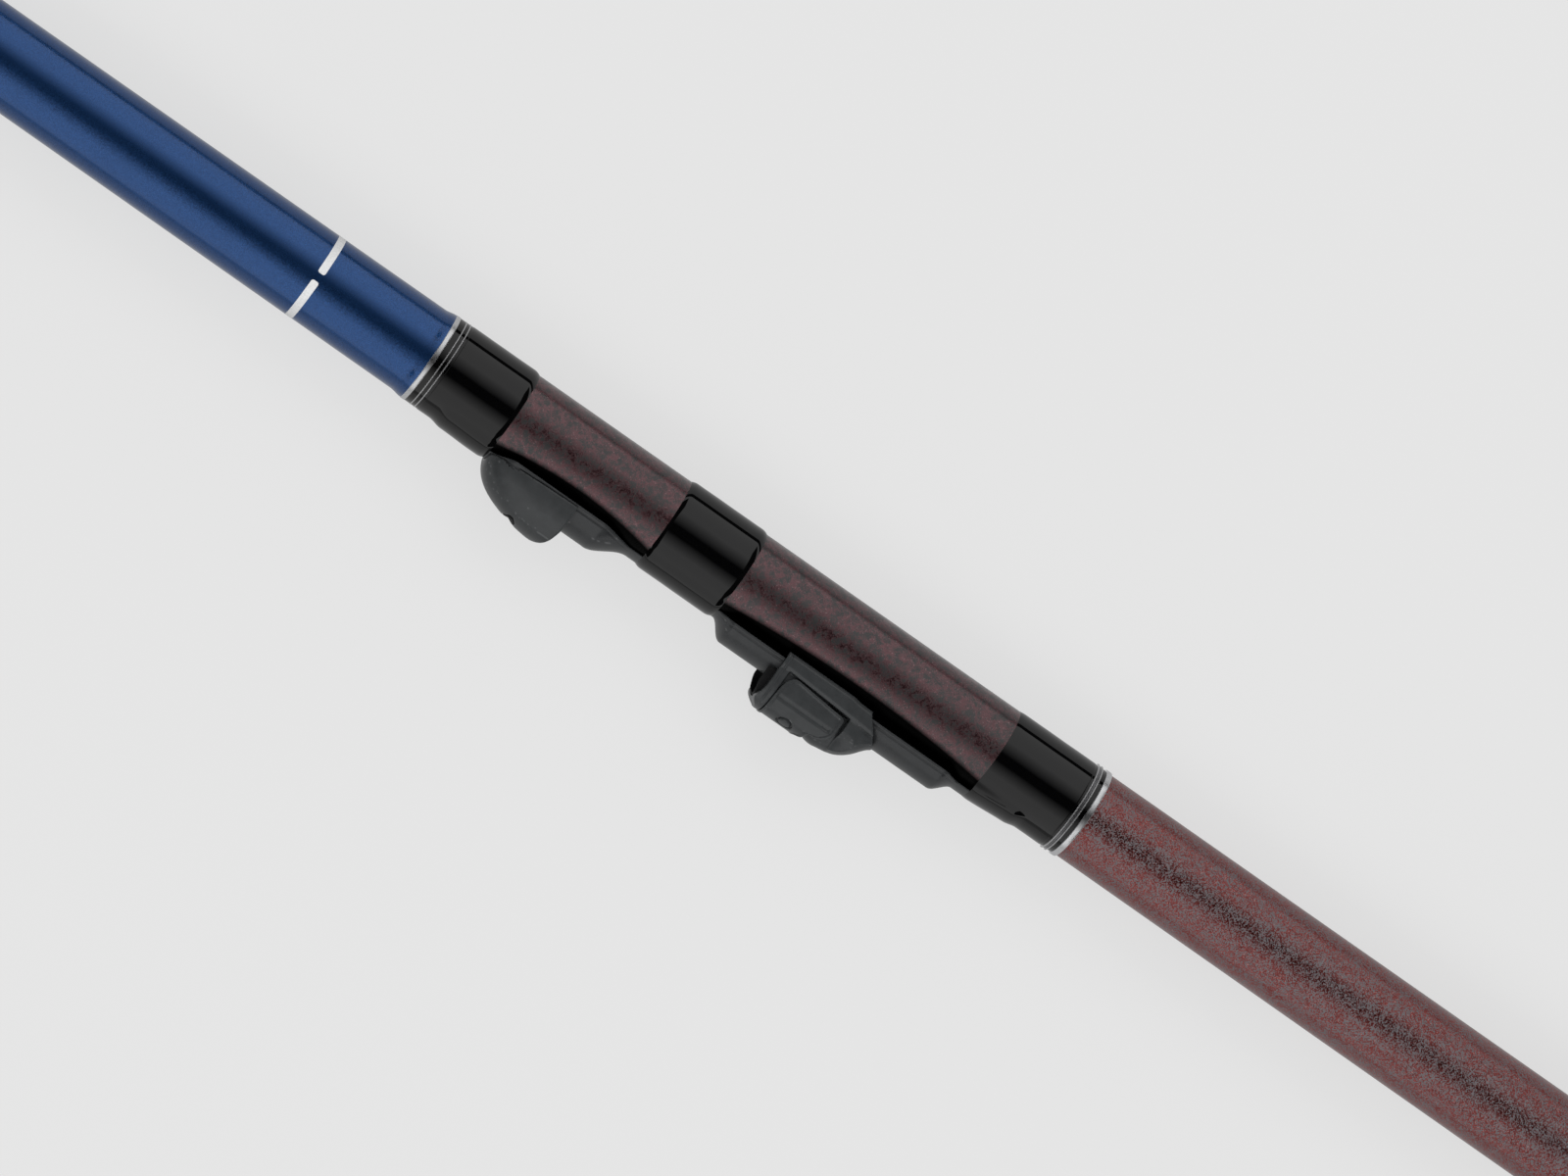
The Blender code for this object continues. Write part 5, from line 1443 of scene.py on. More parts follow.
def plate_space(crown_at, start, end, gap, step=0.6):
    radius = PLATE_RADIUS + gap
    angles = [SPACE_SWEEP * (2.0 * i / SPACE_STEPS - 1.0) for i in range(SPACE_STEPS + 1)]
    loops = []
    for ahead in stations(start, end, step):
        x = SEAT_DATUM + ahead
        centre = crown_at(ahead) + gap - radius
        arc = [(x, centre + radius * math.cos(a), radius * math.sin(a)) for a in angles]
        side, wide = centre - SPACE_DROP, radius + SPACE_WIDENING
        corners = ((side, wide), (SPACE_FLOOR, wide), (SPACE_FLOOR, -wide), (side, -wide))
        loops.append(arc + [(x, y, z) for y, z in corners])
    return loft(loops)


print("plate space ready")

# %% [markdown]
# The fixed hood
#
# The fixed hood is a smooth dome whose nose tucks against the front winding and whose mouth faces
# the butt. Its outline rises in one long curve. The cross-section is a rounded arch: a superellipse,
# which has one number for how full its shoulders are.

# %% Form of the fixed hood
FIXED_NOSE = span("fixed_hood")[1] - SEAT_DATUM
FIXED_MOUTH = 128.9
FIXED_CROWN = box("fixed_hood")[1].y + 0.12
FIXED_HALF_WIDTH = 9.4
FIXED_BASE = 7.9
FIXED_FULLNESS = 2.3
FIXED_POCKET_END = FIXED_NOSE - 8.2
FIXED_POCKET_DROP, FIXED_POCKET_FULLNESS = 2.0, 2.5
FIXED_NUB = FIXED_NOSE - 11.2
NUB_HALF_LENGTH = 1.6
NUB_HALF_ACROSS = 4.6
HOOD_WALL = 0.75
LINER_WALL = 0.45
LINER_GAP = 0.1

# Distance behind the nose, narrowing, rise of the base, fall of the crown
FIXED_SHAPE = [
    (27.3, 0.0, -0.3, 0.0),
    (17.0, 0.0, -0.1, 0.0),
    (14.0, 0.1, 0.0, 0.25),
    (11.0, 0.3, 0.1, 0.8),
    (8.0, 0.6, 0.15, 1.6),
    (5.0, 1.1, 0.3, 2.75),
    (3.5, 1.5, 0.4, 3.6),
    (2.0, 2.1, 0.6, 4.75),
    (1.0, 2.7, 0.8, 5.9),
    (0.4, 3.1, 1.0, 6.9),
    (0.0, 3.8, 1.3, 7.9),
]
fixed_shape = curve_through(FIXED_SHAPE)


def arch_loop(ahead, half_width, base, crown, fullness, points=56):
    """A closed loop across the rod: a rounded arch over a flat base."""
    loop = []
    for i in range(points + 1):
        angle = math.pi * i / points
        across = half_width * math.copysign(abs(math.cos(angle)) ** (2.0 / fullness), math.cos(angle))
        height = base + (crown - base) * math.sin(angle) ** (2.0 / fullness)
        loop.append((SEAT_DATUM + ahead, height, across))
    return loop


def fixed_arch(ahead, inset, base_drop, fullness):
    narrower, higher, lower = fixed_shape(FIXED_NOSE - inset - ahead)
    wide = FIXED_HALF_WIDTH - inset - narrower
    return arch_loop(ahead, wide, FIXED_BASE - base_drop + higher, FIXED_CROWN - inset - lower, fullness)


def fixed_form():
    behind = [0.0, 0.2, 0.45, 0.8, 1.2, 1.7, 2.3, 3.0, 3.8] + stations(4.8, 27.3, 0.9)
    return loft([fixed_arch(FIXED_NOSE - value, 0.0, 0.0, FIXED_FULLNESS) for value in behind])


def fixed_pocket(inset, end):
    places = stations(FIXED_MOUTH - 6.0, end, 0.9)
    wall = HOOD_WALL + inset
    return loft([fixed_arch(ahead, wall, FIXED_POCKET_DROP, FIXED_POCKET_FULLNESS) for ahead in places])


def fixed_mouth(inset):
    """Takes off what lies behind the raked and rounded mouth."""
    mouth, crown = FIXED_MOUTH + inset, FIXED_CROWN
    top, behind = crown + 6.0, mouth - 12.0
    curve = [(mouth, 0.0), (mouth, crown - 5.0), (mouth + 0.6, crown - 2.4), (mouth + 1.4, crown - 1.0),
             (mouth + 2.6, crown - 0.25), (mouth + 4.0, crown + 0.1), (mouth + 4.0, top)]
    return prism(eased(curve, 0.8, closed=False) + [(behind, top), (behind, 0.0)])


def front_plate_space(gap):
    return plate_space(lambda ahead: plate_crown(FRONT_PLATE, ahead), 110.0, 156.0, gap)


print(f"fixed hood {FIXED_NOSE - FIXED_MOUTH:.1f} mm long, crown at {FIXED_CROWN:.2f} mm")

# %% Fixed hood and its liner
hood_nub_hole = oval_peg(FIXED_NUB, 10.0, 26.0, NUB_HALF_LENGTH + LINER_GAP, NUB_HALF_ACROSS + LINER_GAP)
fixed_hood = carve(
    fixed_form(),
    ("DIFFERENCE", fixed_pocket(0.0, FIXED_POCKET_END)),
    ("DIFFERENCE", front_plate_space(0.1)),
    ("DIFFERENCE", fixed_mouth(0.0)),
    ("DIFFERENCE", hood_nub_hole),
)
settle(soften("fixed_hood_moulding", fixed_hood, rounds=6), HOOD, "fixed_hood")


# The nub's top follows the hood's arch, which is a little narrower there than at the mouth.
NUB_PROUD, NUB_NARROWING = 0.05, 0.2


def fixed_nub():
    """The part of the liner that fills the hood's oval window, level with the hood's face."""
    peg = oval_peg(FIXED_NUB, 12.0, 17.5, NUB_HALF_LENGTH, NUB_HALF_ACROSS)
    top = max(vert.co.y for vert in peg.verts)
    for vert in peg.verts:
        if vert.co.y == top:
            _, _, lower = fixed_shape(FIXED_NOSE + SEAT_DATUM - vert.co.x)
            share = abs(vert.co.z) / (FIXED_HALF_WIDTH - NUB_NARROWING)
            height = FIXED_CROWN - lower - FIXED_BASE
            arch = (1.0 - share**FIXED_FULLNESS) ** (1.0 / FIXED_FULLNESS)
            vert.co.y = FIXED_BASE + height * arch + NUB_PROUD
    return peg


fixed_liner = carve(
    fixed_pocket(LINER_GAP, FIXED_POCKET_END - LINER_GAP),
    ("DIFFERENCE", fixed_pocket(LINER_GAP + LINER_WALL, FIXED_POCKET_END - LINER_GAP - LINER_WALL)),
    ("DIFFERENCE", front_plate_space(0.2)),
    ("DIFFERENCE", fixed_mouth(0.5)),
    ("UNION", fixed_nub()),
)
settle(soften("fixed_hood_soft_liner", fixed_liner, voxel=0.17, rounds=2), LINER, "fixed_hood_liner")
print("fixed hood and liner placed")

# %% [markdown]
# The sliding hood
#
# This hood runs on the rear plate. Its skirts wrap round the plate's edges, its cup takes the reel
# foot's rear toe, and its heel falls away to the plate. The cup is recessed by the lever's wall, so
# that the lever lies flush, and a barrel in the recess holds the pin. A table gives the form from
# front to rear, with a rolled rim at the front.

# %% Form of the sliding hood
SLIDER_REAR = span("sliding_hood")[0] - SEAT_DATUM
SLIDER_CROWN = box("sliding_hood")[1].y + 0.42
SLIDER_HALF_WIDTH = box("sliding_hood")[1].z
SKIRT_BOTTOM = 7.0
SKIRT_CORNER = 0.7
LEDGE = 10.3
LEDGE_CLIMB, LEDGE_RISE = 0.06, 0.2
LEVER_FRONT = 73.9
CUP_SPRING = 12.6
CUP_HALF_WIDTH = SLIDER_HALF_WIDTH - 0.5
CUP_FULLNESS = 2.7
RIM_PROUD = 0.3
RIM_RISE = 0.05
LEVER_WALL = 0.8
RECESS = LEVER_WALL + 0.25
PIN_AHEAD, PIN_HEIGHT = 61.2, 15.4
BARREL_RADIUS = 5.0
BARREL_INSET = 1.0

# Places ahead of the datum where the form changes, from front to rear
FORM_FRONT = 80.0
RIM_REAR, RIM_FOOT = 75.5, 75.1
RECESS_WALL = (LEVER_FRONT + 0.14, LEVER_FRONT + 0.08)
BARREL_FRONT = 63.5
RECESS_REAR = 58.0
HEEL_LIFT, HEEL_CROWN = 0.3, 19.98

# Distance ahead of the datum, rise of the skirt's bottom, narrowing, crown and fullness of the arch
HEEL_SHAPE = [
    (RECESS_REAR, HEEL_LIFT, 0.1, HEEL_CROWN, 2.5),
    (56.0, 0.4, 0.25, 19.42, 2.25),
    (54.5, 0.45, 0.5, 18.6, 2.1),
    (53.0, 0.5, 0.8, 17.35, 2.0),
    (51.7, 0.5, 1.2, 15.7, 2.0),
    (50.6, 0.5, 1.6, 14.55, 2.0),
    (49.8, 0.5, 1.8, 14.25, 2.0),
]


def cup_arch(cup, crown, fullness=CUP_FULLNESS, steps=18):
    """The right half of the cup's arch, from its springing line up to just before the crown."""
    power, rise = 2.0 / fullness, crown - CUP_SPRING
    angles = [math.pi / 2.0 * i / steps for i in range(steps)]
    return [(cup * math.cos(a) ** power, CUP_SPRING + rise * math.sin(a) ** power) for a in angles]


def mirrored_loop(ahead, half, crown):
    """A closed loop across the rod from its right half of (across, height) points."""
    x = SEAT_DATUM + ahead
    left = [(x, height, -across) for across, height in reversed(half)]
    return [(x, height, across) for across, height in half] + [(x, crown, 0.0)] + left


def cup_loop(ahead, bottom, cup, crown):
    return mirrored_loop(ahead, [(cup, bottom)] + cup_arch(cup, crown), crown)


def slider_loop(ahead, lift, cup, crown, fullness=CUP_FULLNESS, proud=0.0):
    """A skirt with eased corners, a ledge that climbs to the rear, and the cup's arch on it."""
    skirt, bottom = SLIDER_HALF_WIDTH + proud, SKIRT_BOTTOM + lift
    ledge = LEDGE + LEDGE_CLIMB * (LEVER_FRONT - min(ahead, LEVER_FRONT))
    side = [(skirt - SKIRT_CORNER, bottom), (skirt, bottom + SKIRT_CORNER), (skirt, ledge - SKIRT_CORNER),
            (skirt - SKIRT_CORNER / 2.0, ledge), (cup, ledge + LEDGE_RISE)]
    return mirrored_loop(ahead, side + cup_arch(cup, crown, fullness), crown)


def slider_form():
    slim, low = CUP_HALF_WIDTH - RECESS, SLIDER_CROWN - RECESS
    rim_cup, rim_crown = CUP_HALF_WIDTH + RIM_PROUD, SLIDER_CROWN + RIM_RISE
    loops = [
        slider_loop(FORM_FRONT, 0.0, rim_cup, rim_crown, proud=RIM_PROUD),
        slider_loop(RIM_REAR, 0.0, rim_cup, rim_crown, proud=RIM_PROUD),
        slider_loop(RIM_FOOT, 0.0, CUP_HALF_WIDTH, SLIDER_CROWN),
        slider_loop(RECESS_WALL[0], 0.0, CUP_HALF_WIDTH, SLIDER_CROWN),
        slider_loop(RECESS_WALL[1], 0.0, slim, low),
        slider_loop(BARREL_FRONT, 0.0, slim, low),
    ]
    for away in (2.1, 1.7, 1.2, 0.6, 0.0, -0.6, -1.3):
        barrel_crown = PIN_HEIGHT + math.sqrt(BARREL_RADIUS**2 - away**2)
        loops.append(slider_loop(PIN_AHEAD + away, 0.0, slim - BARREL_INSET, barrel_crown))
    loops.append(slider_loop(RECESS_REAR + 0.2, HEEL_LIFT, slim - BARREL_INSET, HEEL_CROWN))
    heel = curve_through(HEEL_SHAPE)
    for ahead in stations(RECESS_REAR, HEEL_SHAPE[-1][0], 0.4):
        lift, narrower, crown, fullness = heel(ahead)
        loops.append(slider_loop(ahead, lift, CUP_HALF_WIDTH - narrower, crown, fullness))
    return loft(loops)


print(f"sliding hood from {SLIDER_REAR:.1f} mm ahead of the datum, crown at {SLIDER_CROWN:.2f} mm")

# %% [markdown]
# What is cut from the sliding hood
#
# The channel follows the plate's face, goes round its edges and is open to the blank between the
# two lips. The pocket is blind. The front is cut square with a rounded crown, and the rear is raked
# from the skirts up to the heel.

# %% Cutters of the sliding hood
RUNNING_GAP = 0.25
POCKET_END = 64.0
SLIDER_NUB = 68.5
SLIDER_NUB_RADIUS = 1.6
LIP_OVERLAP, LIP_SLOPE = 0.9, 0.2
CHANNEL_STEPS = 16

# Cutters reach past the hood behind, in front and above.
BEHIND, IN_FRONT, BEYOND = 44.0, 84.0, 26.0


def plate_channel():
    radius = PLATE_RADIUS + RUNNING_GAP
    centre = REAR_PLATE["crown"] - PLATE_RADIUS
    edge = REAR_PLATE["half_width"] + RUNNING_GAP
    edge_angle = math.atan2(edge, REAR_PLATE["edge"] - centre)
    lip_top = REAR_PLATE["edge"] - PLATE_THICKNESS * math.cos(edge_angle) - RUNNING_GAP
    lip_tip = REAR_PLATE["half_width"] - LIP_OVERLAP
    half = [(lip_tip, 0.0), (lip_tip, lip_top - LIP_SLOPE), (edge, lip_top), (edge, REAR_PLATE["edge"])]
    for i in range(1, CHANNEL_STEPS):
        angle = edge_angle * (1.0 - i / CHANNEL_STEPS)
        half.append((radius * math.sin(angle), centre + radius * math.cos(angle)))
    return loft([mirrored_loop(ahead, half, centre + radius) for ahead in (BEHIND, IN_FRONT)])


def slider_pocket(inset, end):
    slim = RECESS + HOOD_WALL + inset
    wide, crown = CUP_HALF_WIDTH - slim, SLIDER_CROWN - slim
    rows = [(IN_FRONT, wide, crown), (end + 6.0, wide, crown), (end, wide - 0.8, crown - 0.9)]
    return loft([cup_loop(ahead, 8.5, cup, top) for ahead, cup, top in rows])


def off_the_front(*outline):
    """A cutter for all that lies in front of a side outline."""
    return prism(eased(outline, 0.5, closed=False) + [(90.0, BEYOND), (90.0, 0.0)])


FRONT_OUTLINE = [
    (76.2, 0.0), (76.2, 15.0), (76.5, 17.0), (77.0, 18.3),
    (76.6, 19.2), (75.8, 19.95), (75.0, 20.6), (74.8, BEYOND),
]
THUMB_PLACE = (56.0, 16.8, 6.85)
THUMB_RADIUS, THUMB_DEPTH = 9.0, 0.75
THUMB_UP, THUMB_OUT = 0.57, 0.82


def thumb_scoop(side):
    """A shallow scoop on each side of the heel: a large ball, up and out from it, cuts in a little."""
    ahead, height, across = THUMB_PLACE
    reach = THUMB_RADIUS - THUMB_DEPTH
    ball = bmesh.new()
    bmesh.ops.create_uvsphere(ball, u_segments=96, v_segments=64, radius=THUMB_RADIUS)
    centre = Vector((SEAT_DATUM + ahead, height + THUMB_UP * reach, side * (across + THUMB_OUT * reach)))
    bmesh.ops.translate(ball, vec=centre, verts=ball.verts)
    return ball


def rear_rake():
    line = [(55.0, 0.0), (55.0, 8.0), (52.7, 10.9), (SLIDER_REAR, 14.0), (SLIDER_REAR, BEYOND)]
    return prism(eased(line, 0.5, closed=False) + [(BEHIND, BEYOND), (BEHIND, 0.0)])


def cross_pin(radius, half_length, chamfer=0.15, sides=40):
    """A round pin across the rod on the lever's axis."""
    x = SEAT_DATUM + PIN_AHEAD
    turn = [math.tau * i / sides for i in range(sides)]
    loops = []
    for end, shrink in ((-1, chamfer), (-1, 0.0), (1, 0.0), (1, chamfer)):
        r, z = radius - shrink, end * (half_length + shrink - chamfer)
        loops.append([(x + r * math.cos(a), PIN_HEIGHT + r * math.sin(a), z) for a in turn])
    return loft(loops)


# %% Sliding hood and its liner
PIN_RADIUS, PIN_HALF_LENGTH = 0.9, 7.85
PIN_HOLE = PIN_RADIUS + 0.1
window = SLIDER_NUB_RADIUS + LINER_GAP
sliding_hood = carve(
    slider_form(),
    ("DIFFERENCE", plate_channel()),
    ("DIFFERENCE", slider_pocket(0.0, POCKET_END)),
    ("DIFFERENCE", off_the_front(*FRONT_OUTLINE)),
    ("DIFFERENCE", rear_rake()),
    ("DIFFERENCE", thumb_scoop(1.0)),
    ("DIFFERENCE", thumb_scoop(-1.0)),
    ("DIFFERENCE", cross_pin(PIN_HOLE, 20.0)),
    ("DIFFERENCE", oval_peg(SLIDER_NUB, 15.0, BEYOND, window, window)),
)
settle(soften("sliding_hood_moulding", sliding_hood, voxel=0.16, rounds=3), HOOD, "sliding_hood")

under_crown = plate_space(lambda ahead: REAR_PLATE["crown"], 48.0, 88.0, RUNNING_GAP + 0.1, step=10.0)
sliding_liner = carve(
    slider_pocket(LINER_GAP, POCKET_END + LINER_GAP),
    ("DIFFERENCE", slider_pocket(LINER_GAP + LINER_WALL, POCKET_END + LINER_GAP + LINER_WALL)),
    ("DIFFERENCE", under_crown),
    ("DIFFERENCE", off_the_front((78.0, 0.0), (78.0, 15.2), (77.2, 18.1), (75.9, 19.4), (75.5, BEYOND))),
    ("UNION", oval_peg(SLIDER_NUB, 18.3, 19.5, SLIDER_NUB_RADIUS, SLIDER_NUB_RADIUS)),
)
settle(soften("sliding_hood_soft_liner", sliding_liner, voxel=0.15, rounds=2), LINER, "sliding_hood_liner")

# %% [markdown]
# The lock lever
#
# The lever is a saddle over the recess: two cheeks joined by a crown, turning on the pin. Each cheek
# has a raised border and a shallow crease, and each shoulder of the crown has an oval groove. The
# border is a slightly larger arch, kept only near the outline. An oval is cut only as deep as a
# smaller arch allows, so its floor follows the crown.

# %% Lock lever and pin
LEVER_REAR, LEVER_NOTCH = 58.9, 63.7
LEVER_CORNER = 1.0
# Width and height of the raised border
LEVER_BORDER = (0.55, 0.2)
CREASE_ENDS, CREASE_TAPERS = (60.3, 73.2), (1.0, 0.6)
CREASE_HEIGHT, CREASE_OUT, CREASE_RADIUS = 16.0, 0.45, 1.0
# Width and depth of the oval grooves
OVAL_GROOVE = (0.6, 0.6)
OVAL_HALF_LENGTH, OVAL_HALF_ACROSS = 1.95, 1.75
OVAL_ACROSS = 5.05


def lever_side(inset):
    """The lever seen from the side. Its front edge follows an arc round the pin, and behind the
    notch it stays low, which leaves it room to turn."""
    front, rear, notch = LEVER_FRONT - inset, LEVER_REAR + inset, LEVER_NOTCH + inset
    outline = [
        (front, BEYOND), (front, 16.0), (front - 0.25, 13.6), (front - 0.65, 12.1 + inset),
        (front - 1.9, 10.75 + inset), (rear, 12.0 + inset), (rear + 0.1, 17.0 - inset),
        (60.5 + inset, 18.3), (notch, 19.0), (notch, 20.35), (66.0, 20.7), (66.0, BEYOND),
    ]
    return prism(eased(outline, LEVER_CORNER, steps=6, closed=False))


def lever_arch(grow, bottom=10.2, ends=(55.0, 80.0)):
    return loft([cup_loop(ahead, bottom, CUP_HALF_WIDTH + grow, SLIDER_CROWN + grow) for ahead in ends])


def crease(side):
    """A pointed bar that lies along a cheek, mostly outside it, so that it cuts in a little."""
    start, end = (SEAT_DATUM + ahead for ahead in CREASE_ENDS)
    rear, front = CREASE_TAPERS
    bar = [(start - rear, 0.0), (start, CREASE_RADIUS), (end, CREASE_RADIUS), (end + front, 0.0)]
    return revolve(bar, 24, (CREASE_HEIGHT, side * (CUP_HALF_WIDTH + CREASE_OUT)))


def oval_groove(side):
    """A ring-shaped cutter on one shoulder of the crown."""
    width, depth = OVAL_GROOVE
    across = side * OVAL_ACROSS
    outer = oval_peg(SLIDER_NUB, 15.0, 24.0, OVAL_HALF_LENGTH, OVAL_HALF_ACROSS, 64, across)
    inner = oval_peg(SLIDER_NUB, 14.0, 25.0, OVAL_HALF_LENGTH - width, OVAL_HALF_ACROSS - width, 64, across)
    return carve(outer, ("DIFFERENCE", inner), ("DIFFERENCE", lever_arch(-depth, bottom=5.0)))


border_width, border_height = LEVER_BORDER
lever = carve(
    lever_arch(border_height),
    ("DIFFERENCE", lever_side(border_width)),
    ("UNION", lever_arch(0.0)),
    ("DIFFERENCE", lever_arch(-LEVER_WALL, bottom=5.0, ends=(50.0, 85.0))),
    ("INTERSECT", lever_side(0.0)),
    ("DIFFERENCE", crease(1.0)),
    ("DIFFERENCE", crease(-1.0)),
    ("DIFFERENCE", oval_groove(1.0)),
    ("DIFFERENCE", oval_groove(-1.0)),
    ("DIFFERENCE", cross_pin(PIN_HOLE, PIN_HALF_LENGTH + 0.1)),
)
settle(soften("lock_lever_saddle", lever, voxel=0.15, rounds=3), HOOD, "lock_lever")
place("lever_pin_turned", cross_pin(PIN_RADIUS, PIN_HALF_LENGTH), PIN_STEEL, "lever_pin")

# %% [markdown]
# The butt cap
#
# A screw cap closes the butt, so the sections can come out to be cleaned. All of its parts are
# turned, so one profile makes each. Where flutes or a thread run round a part, the profile is
# computed anew for every angle: a thread is only a ridge that moves along by one pitch per turn.

# %% Cap, pad, washer, cushion and socket
CAP_START, CAP_FRONT = 0.5, 12.5
CAP_RADIUS = box("butt_cap")[1].z
CAP_FLUTES, FLUTE_DEPTH = 12, 0.5
FLUTE_START, FLUTE_END, FLUTE_FADE = 1.3, 11.7, 2.0
SIDE_START, SIDE_END = 1.4, 11.6
PAD_RADIUS = box("butt_pad")[1].z
PAD_RECESS = (3.0, PAD_RADIUS + 0.1)
PAD_GROOVES, GROOVE_DEPTH = (6.0, 4.2, 2.4), 0.3
PLUG_END = span("butt_cap")[1]
PLUG_ROOT = box("cap_cushion")[1].z
THREAD_HEIGHT, THREAD_PITCH, THREAD_FADE = 0.5, 2.0, 0.8
THREAD_START = PLUG_END - 9.0
SOCKET_RADIUS = box("thread_socket")[1].z
SOCKET_BORE = SOCKET_RADIUS - 2.0
SOCKET_THREAD_HEIGHT = 0.3


def screw(x, angle, height):
    """How far a screw thread stands out at a place; it fades in and out at its ends."""
    turn = (x - THREAD_START) / THREAD_PITCH - angle / math.tau
    fade = smooth_step((x - THREAD_START) / THREAD_FADE) * smooth_step((PLUG_END - x) / THREAD_FADE)
    return height * fade * (0.5 + 0.5 * math.cos(math.tau * turn))


def cap_side(flute, rim):
    """The cap's side, as deep as the flute along the middle and only as deep as the rim at its ends."""
    side = []
    for x in stations(SIDE_START, SIDE_END, 0.4):
        share = smooth_step((x - FLUTE_START) / FLUTE_FADE) * smooth_step((FLUTE_END - x) / FLUTE_FADE)
        side.append((x, CAP_RADIUS - flute * share - rim * (1.0 - share)))
    return side


def cap_profile(angle):
    flute = FLUTE_DEPTH * max(0.0, math.cos(CAP_FLUTES * angle)) ** 2
    rim = 0.5 * flute
    floor, wall = PAD_RECESS
    outline = [(floor, 0.0), (floor, wall), (CAP_START, wall), (CAP_START, CAP_RADIUS - rim),
               (CAP_FRONT, CAP_RADIUS - rim), (CAP_FRONT, PLUG_ROOT), (THREAD_START, PLUG_ROOT)]
    rounded = eased(outline, 0.8, closed=False)
    before = [(x, r) for x, r in rounded if x < SIDE_START or r < PAD_RADIUS + 0.5 and x <= floor]
    after = [(x, r) for x, r in rounded if x > SIDE_END]
    places = stations(THREAD_START, PLUG_END, 0.12)
    thread = [(x, PLUG_ROOT + screw(x, angle, THREAD_HEIGHT)) for x in places]
    return before + cap_side(flute, rim) + after[:-1] + thread + [(PLUG_END, 0.0)]


def socket_profile(angle):
    start, end = span("thread_socket")
    inner = [(x, SOCKET_BORE + screw(x, angle, SOCKET_THREAD_HEIGHT)) for x in stations(start, end, 0.15)]
    return [(end, SOCKET_RADIUS), (start, SOCKET_RADIUS)] + inner


def ringed_pad():
    """The pad's profile, with rings of grooves in its end face."""
    start, end = span("butt_pad")
    deep = start + GROOVE_DEPTH
    points = [(end, 0.0), (end, PAD_RADIUS), (start, PAD_RADIUS)]
    for r in PAD_GROOVES:
        points += [(start, r + 0.25), (deep, r + 0.1), (deep, r - 0.1), (start, r - 0.25)]
    return eased(points + [(start, 0.0)], 0.3, closed=False)


def turned_ring(node, inner, outer, ease=0.25):
    start, end = span(node)
    return eased([(start, inner), (start, outer), (end, outer), (end, inner)], ease)


place("butt_cap_fluted", revolve(cap_profile, 144), CAP_METAL, "butt_cap")
place("butt_pad_ringed", revolve(ringed_pad(), ROUND), RUBBER, "butt_pad")
place("thread_socket_cut", revolve(socket_profile, ROUND), CAP_METAL, "thread_socket")
washer = turned_ring("cap_washer", SOCKET_BORE + 0.1, box("cap_washer")[1].z)
place("cap_washer_turned", revolve(washer, ROUND), RUBBER, "cap_washer")
cushion_start, cushion_end = span("cap_cushion")
cushion = [(cushion_start, 0.0), (cushion_start, PLUG_ROOT), (cushion_end, PLUG_ROOT), (cushion_end, 0.0)]
place("cap_cushion_disc", revolve(eased(cushion, 0.4, closed=False), ROUND), RUBBER, "cap_cushion")
print("thread turns:", (PLUG_END - THREAD_START) / THREAD_PITCH)

# %% [markdown]
# The telescoping sections
#
# Four tapered tubes and a solid tip slide into the butt. Each is a turned profile again. A short
# glossed winding near the front of each tube stops it from falling into the one behind it, and a
# metal band keeps the butt's mouth from splitting.

# %% Sections, stop windings and mouth band
# Radius at the base, radius at the front, and wall
SECTIONS = {2: (8.002, 6.854, 0.9), 3: (5.804, 4.694, 0.8), 4: (3.744, 2.855, 0.65), 5: (2.055, 1.5, 0.5)}
TIP_RADII = (0.85, 0.45)
STOP_FULLNESS = 0.6
STOP_WALL = 0.5
BAND_WALL, BEAD_WALL, BEAD_LENGTH = 0.3, 0.42, 0.5


def tapered_tube(start, end, base, front, wall):
    outer = [(x, base + (front - base) * (x - start) / (end - start)) for x in stations(start, end, 40.0)]
    return eased([(end, front - wall), (start, base - wall)] + outer, 0.2)


def barrel(start, end, inner, wall, steps=16):
    """A short winding with a domed section."""
    points = [(end, inner), (start, inner)]
    for i in range(steps + 1):
        turn = math.pi * (1.0 - i / steps)
        reach = math.copysign(abs(math.cos(turn)) ** STOP_FULLNESS, math.cos(turn))
        x = (start + end) / 2.0 + (end - start) / 2.0 * reach
        points.append((x, inner + wall * math.sin(turn) ** STOP_FULLNESS))
    return points


for number, (base, front, wall) in SECTIONS.items():
    tube = tapered_tube(*span(f"section_{number}_blank"), base, front, wall)
    place(f"section_{number}_tube", revolve(tube, ROUND), SECTION_BLUE, f"section_{number}_blank")
    node = f"section_{number}_stop_winding"
    place(f"{node}_varnished", revolve(barrel(*span(node), front + 0.05, STOP_WALL), ROUND), WINDING, node)
tip_start, tip_end = span("tip_blank")
tip = [(tip_start, 0.0), (tip_start, TIP_RADII[0]), (tip_end, TIP_RADII[1]), (tip_end, 0.0)]
place("tip_rod", revolve(eased(tip, 0.2, closed=False), 48), SECTION_BLUE, "tip_blank")
mouth_start, mouth_end = span("butt_mouth_band")
band_inner = blank_radius(mouth_start) + 0.1
band_outer, bead_outer, bead_start = band_inner + BAND_WALL, band_inner + BEAD_WALL, mouth_end - BEAD_LENGTH
mouth_band = eased(
    [(mouth_start, band_inner), (mouth_start, band_outer), (bead_start - 0.1, band_outer),
     (bead_start, bead_outer), (mouth_end, bead_outer), (mouth_end, band_inner)], 0.15)
place("butt_mouth_band_turned", revolve(mouth_band, ROUND), SILVER, "butt_mouth_band")
print("sections made:", *SECTIONS)

# %% [markdown]
# The line guides
#
# A guide for a telescopic rod is a stamped frame on a sleeve, with a polished ceramic ring pressed
# into its rim. The frame is a union of a tube, three legs and the rim. Remeshed and smoothed, the
# joints between them become fillets, as in a brazed frame. One function makes all seven guides.

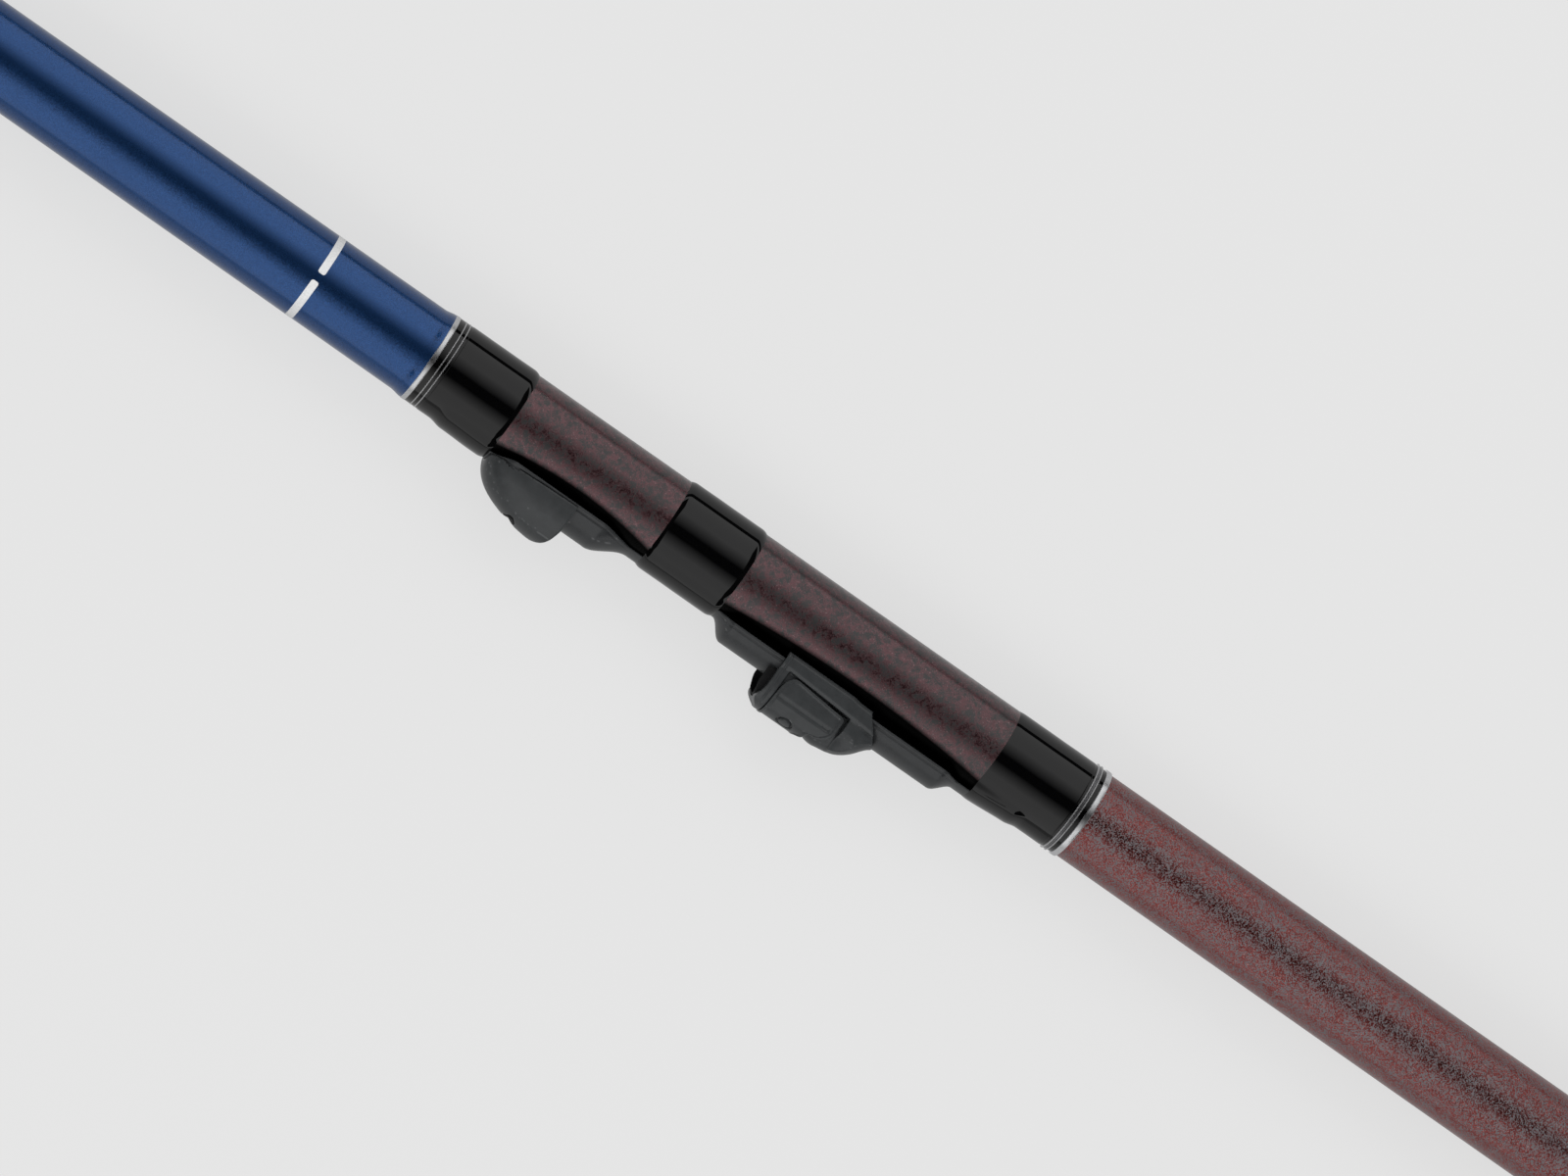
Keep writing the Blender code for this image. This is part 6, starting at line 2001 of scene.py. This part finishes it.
# %% Guides and rings
# Bore of the sleeve and wall of the ceramic ring; all other sizes are in the boxes
GUIDES = {
    "section_2_guide": (6.954, 1.5), "section_3_guide": (4.794, 1.3), "section_4_guide": (2.955, 1.1),
    "section_5_guide": (1.6, 0.9), "lower_float": (0.85, 0.8), "upper_float": (0.72, 0.8),
    "tip_top": (0.55, 0.8),
}
SLEEVE_WALL = 0.5
RIM_WALL = 0.9
HALF_RIM = 0.6
RING_GAP = 0.1
HALF_SHEET = 0.4
FRONT_LEG_HALF_WIDTH, SIDE_LEG_HALF_WIDTH = 1.1, 0.35
SIDE_LEG_START, SIDE_LEG_BOW = 1.2, 0.06
LEG_ANGLE = math.radians(55.0)
LARGE_RING, LARGE_VOXEL, SMALL_VOXEL = 4.0, 0.16, 0.11


def leg(low, high, bow, half_width, half_sheet, steps=12, sides=16):
    """A curved leg between two points, with an oval section that is thin along the rod."""
    low, high = Vector(low), Vector(high)
    middle = low.lerp(high, 0.5) + Vector(bow)
    turn = [math.tau * k / sides for k in range(sides)]
    loops = []
    for i in range(steps + 1):
        t = i / steps
        x, y, z = low.lerp(middle, t).lerp(middle.lerp(high, t), t)
        flare = 1.0 + 0.5 * (2.0 * t - 1.0) ** 4
        along, across = half_sheet * flare, half_width * flare
        loops.append([(x + along * math.cos(a), y, z + across * math.sin(a)) for a in turn])
    return loft(loops)


def guide_frame(name, bore, ring_radius, middle, height):
    start, end = span(name)
    sleeve_outer = bore + SLEEVE_WALL
    rim_inner = ring_radius + RING_GAP
    rim_outer = rim_inner + RIM_WALL
    half_width = min(FRONT_LEG_HALF_WIDTH, bore * 0.6)
    foot = bore + SLEEVE_WALL / 2.0
    sleeve = eased([(start, bore), (start, sleeve_outer), (end, sleeve_outer), (end, bore)], 0.2)
    rim = eased([(middle - HALF_RIM, rim_inner), (middle - HALF_RIM, rim_outer),
                 (middle + HALF_RIM, rim_outer), (middle + HALF_RIM, rim_inner)], 0.25)
    front_top = (middle, height - rim_outer + RIM_WALL / 2.0, 0.0)
    steps = [("UNION", leg((middle, foot, 0.0), front_top, (0.0, 0.0, 0.0), half_width, HALF_SHEET))]
    rim_middle = (rim_inner + rim_outer) / 2.0
    for side in (-1.0, 1.0):
        low = (start + SIDE_LEG_START, foot, side * half_width * 0.5)
        high = (middle, height - rim_middle * math.cos(LEG_ANGLE), side * rim_middle * math.sin(LEG_ANGLE))
        bow = (0.0, 0.0, side * SIDE_LEG_BOW * height)
        steps.append(("UNION", leg(low, high, bow, SIDE_LEG_HALF_WIDTH, HALF_SHEET)))
    steps.append(("UNION", revolve(rim, 96, (height, 0.0))))
    return carve(revolve(sleeve, 64), *steps)


for name, (bore, ring_wall) in GUIDES.items():
    frame_node, ring_node = f"{name}_frame", f"{name}_ring"
    ring_low, ring_high = box(ring_node)
    radius, height = ring_high.z, (ring_low.y + ring_high.y) / 2.0
    middle = (ring_low.x + ring_high.x) / 2.0
    voxel = LARGE_VOXEL if radius > LARGE_RING else SMALL_VOXEL
    framework = guide_frame(frame_node, bore, radius, middle, height)
    settle(soften(f"{frame_node}_brazed", framework, voxel=voxel, rounds=3), GUIDE_METAL, frame_node)
    hole = radius - ring_wall
    ring = [(ring_low.x, radius), (ring_low.x, hole), (ring_high.x, hole), (ring_high.x, radius)]
    ring_mesh = revolve(eased(ring, 0.75, steps=8), ROUND, (height, 0.0))
    place(f"{ring_node}_polished", ring_mesh, CERAMIC, ring_node)
print("guides made:", len(GUIDES))

# %% [markdown]
# The last line

# %% Count the pieces
print(len(made), "pieces made")
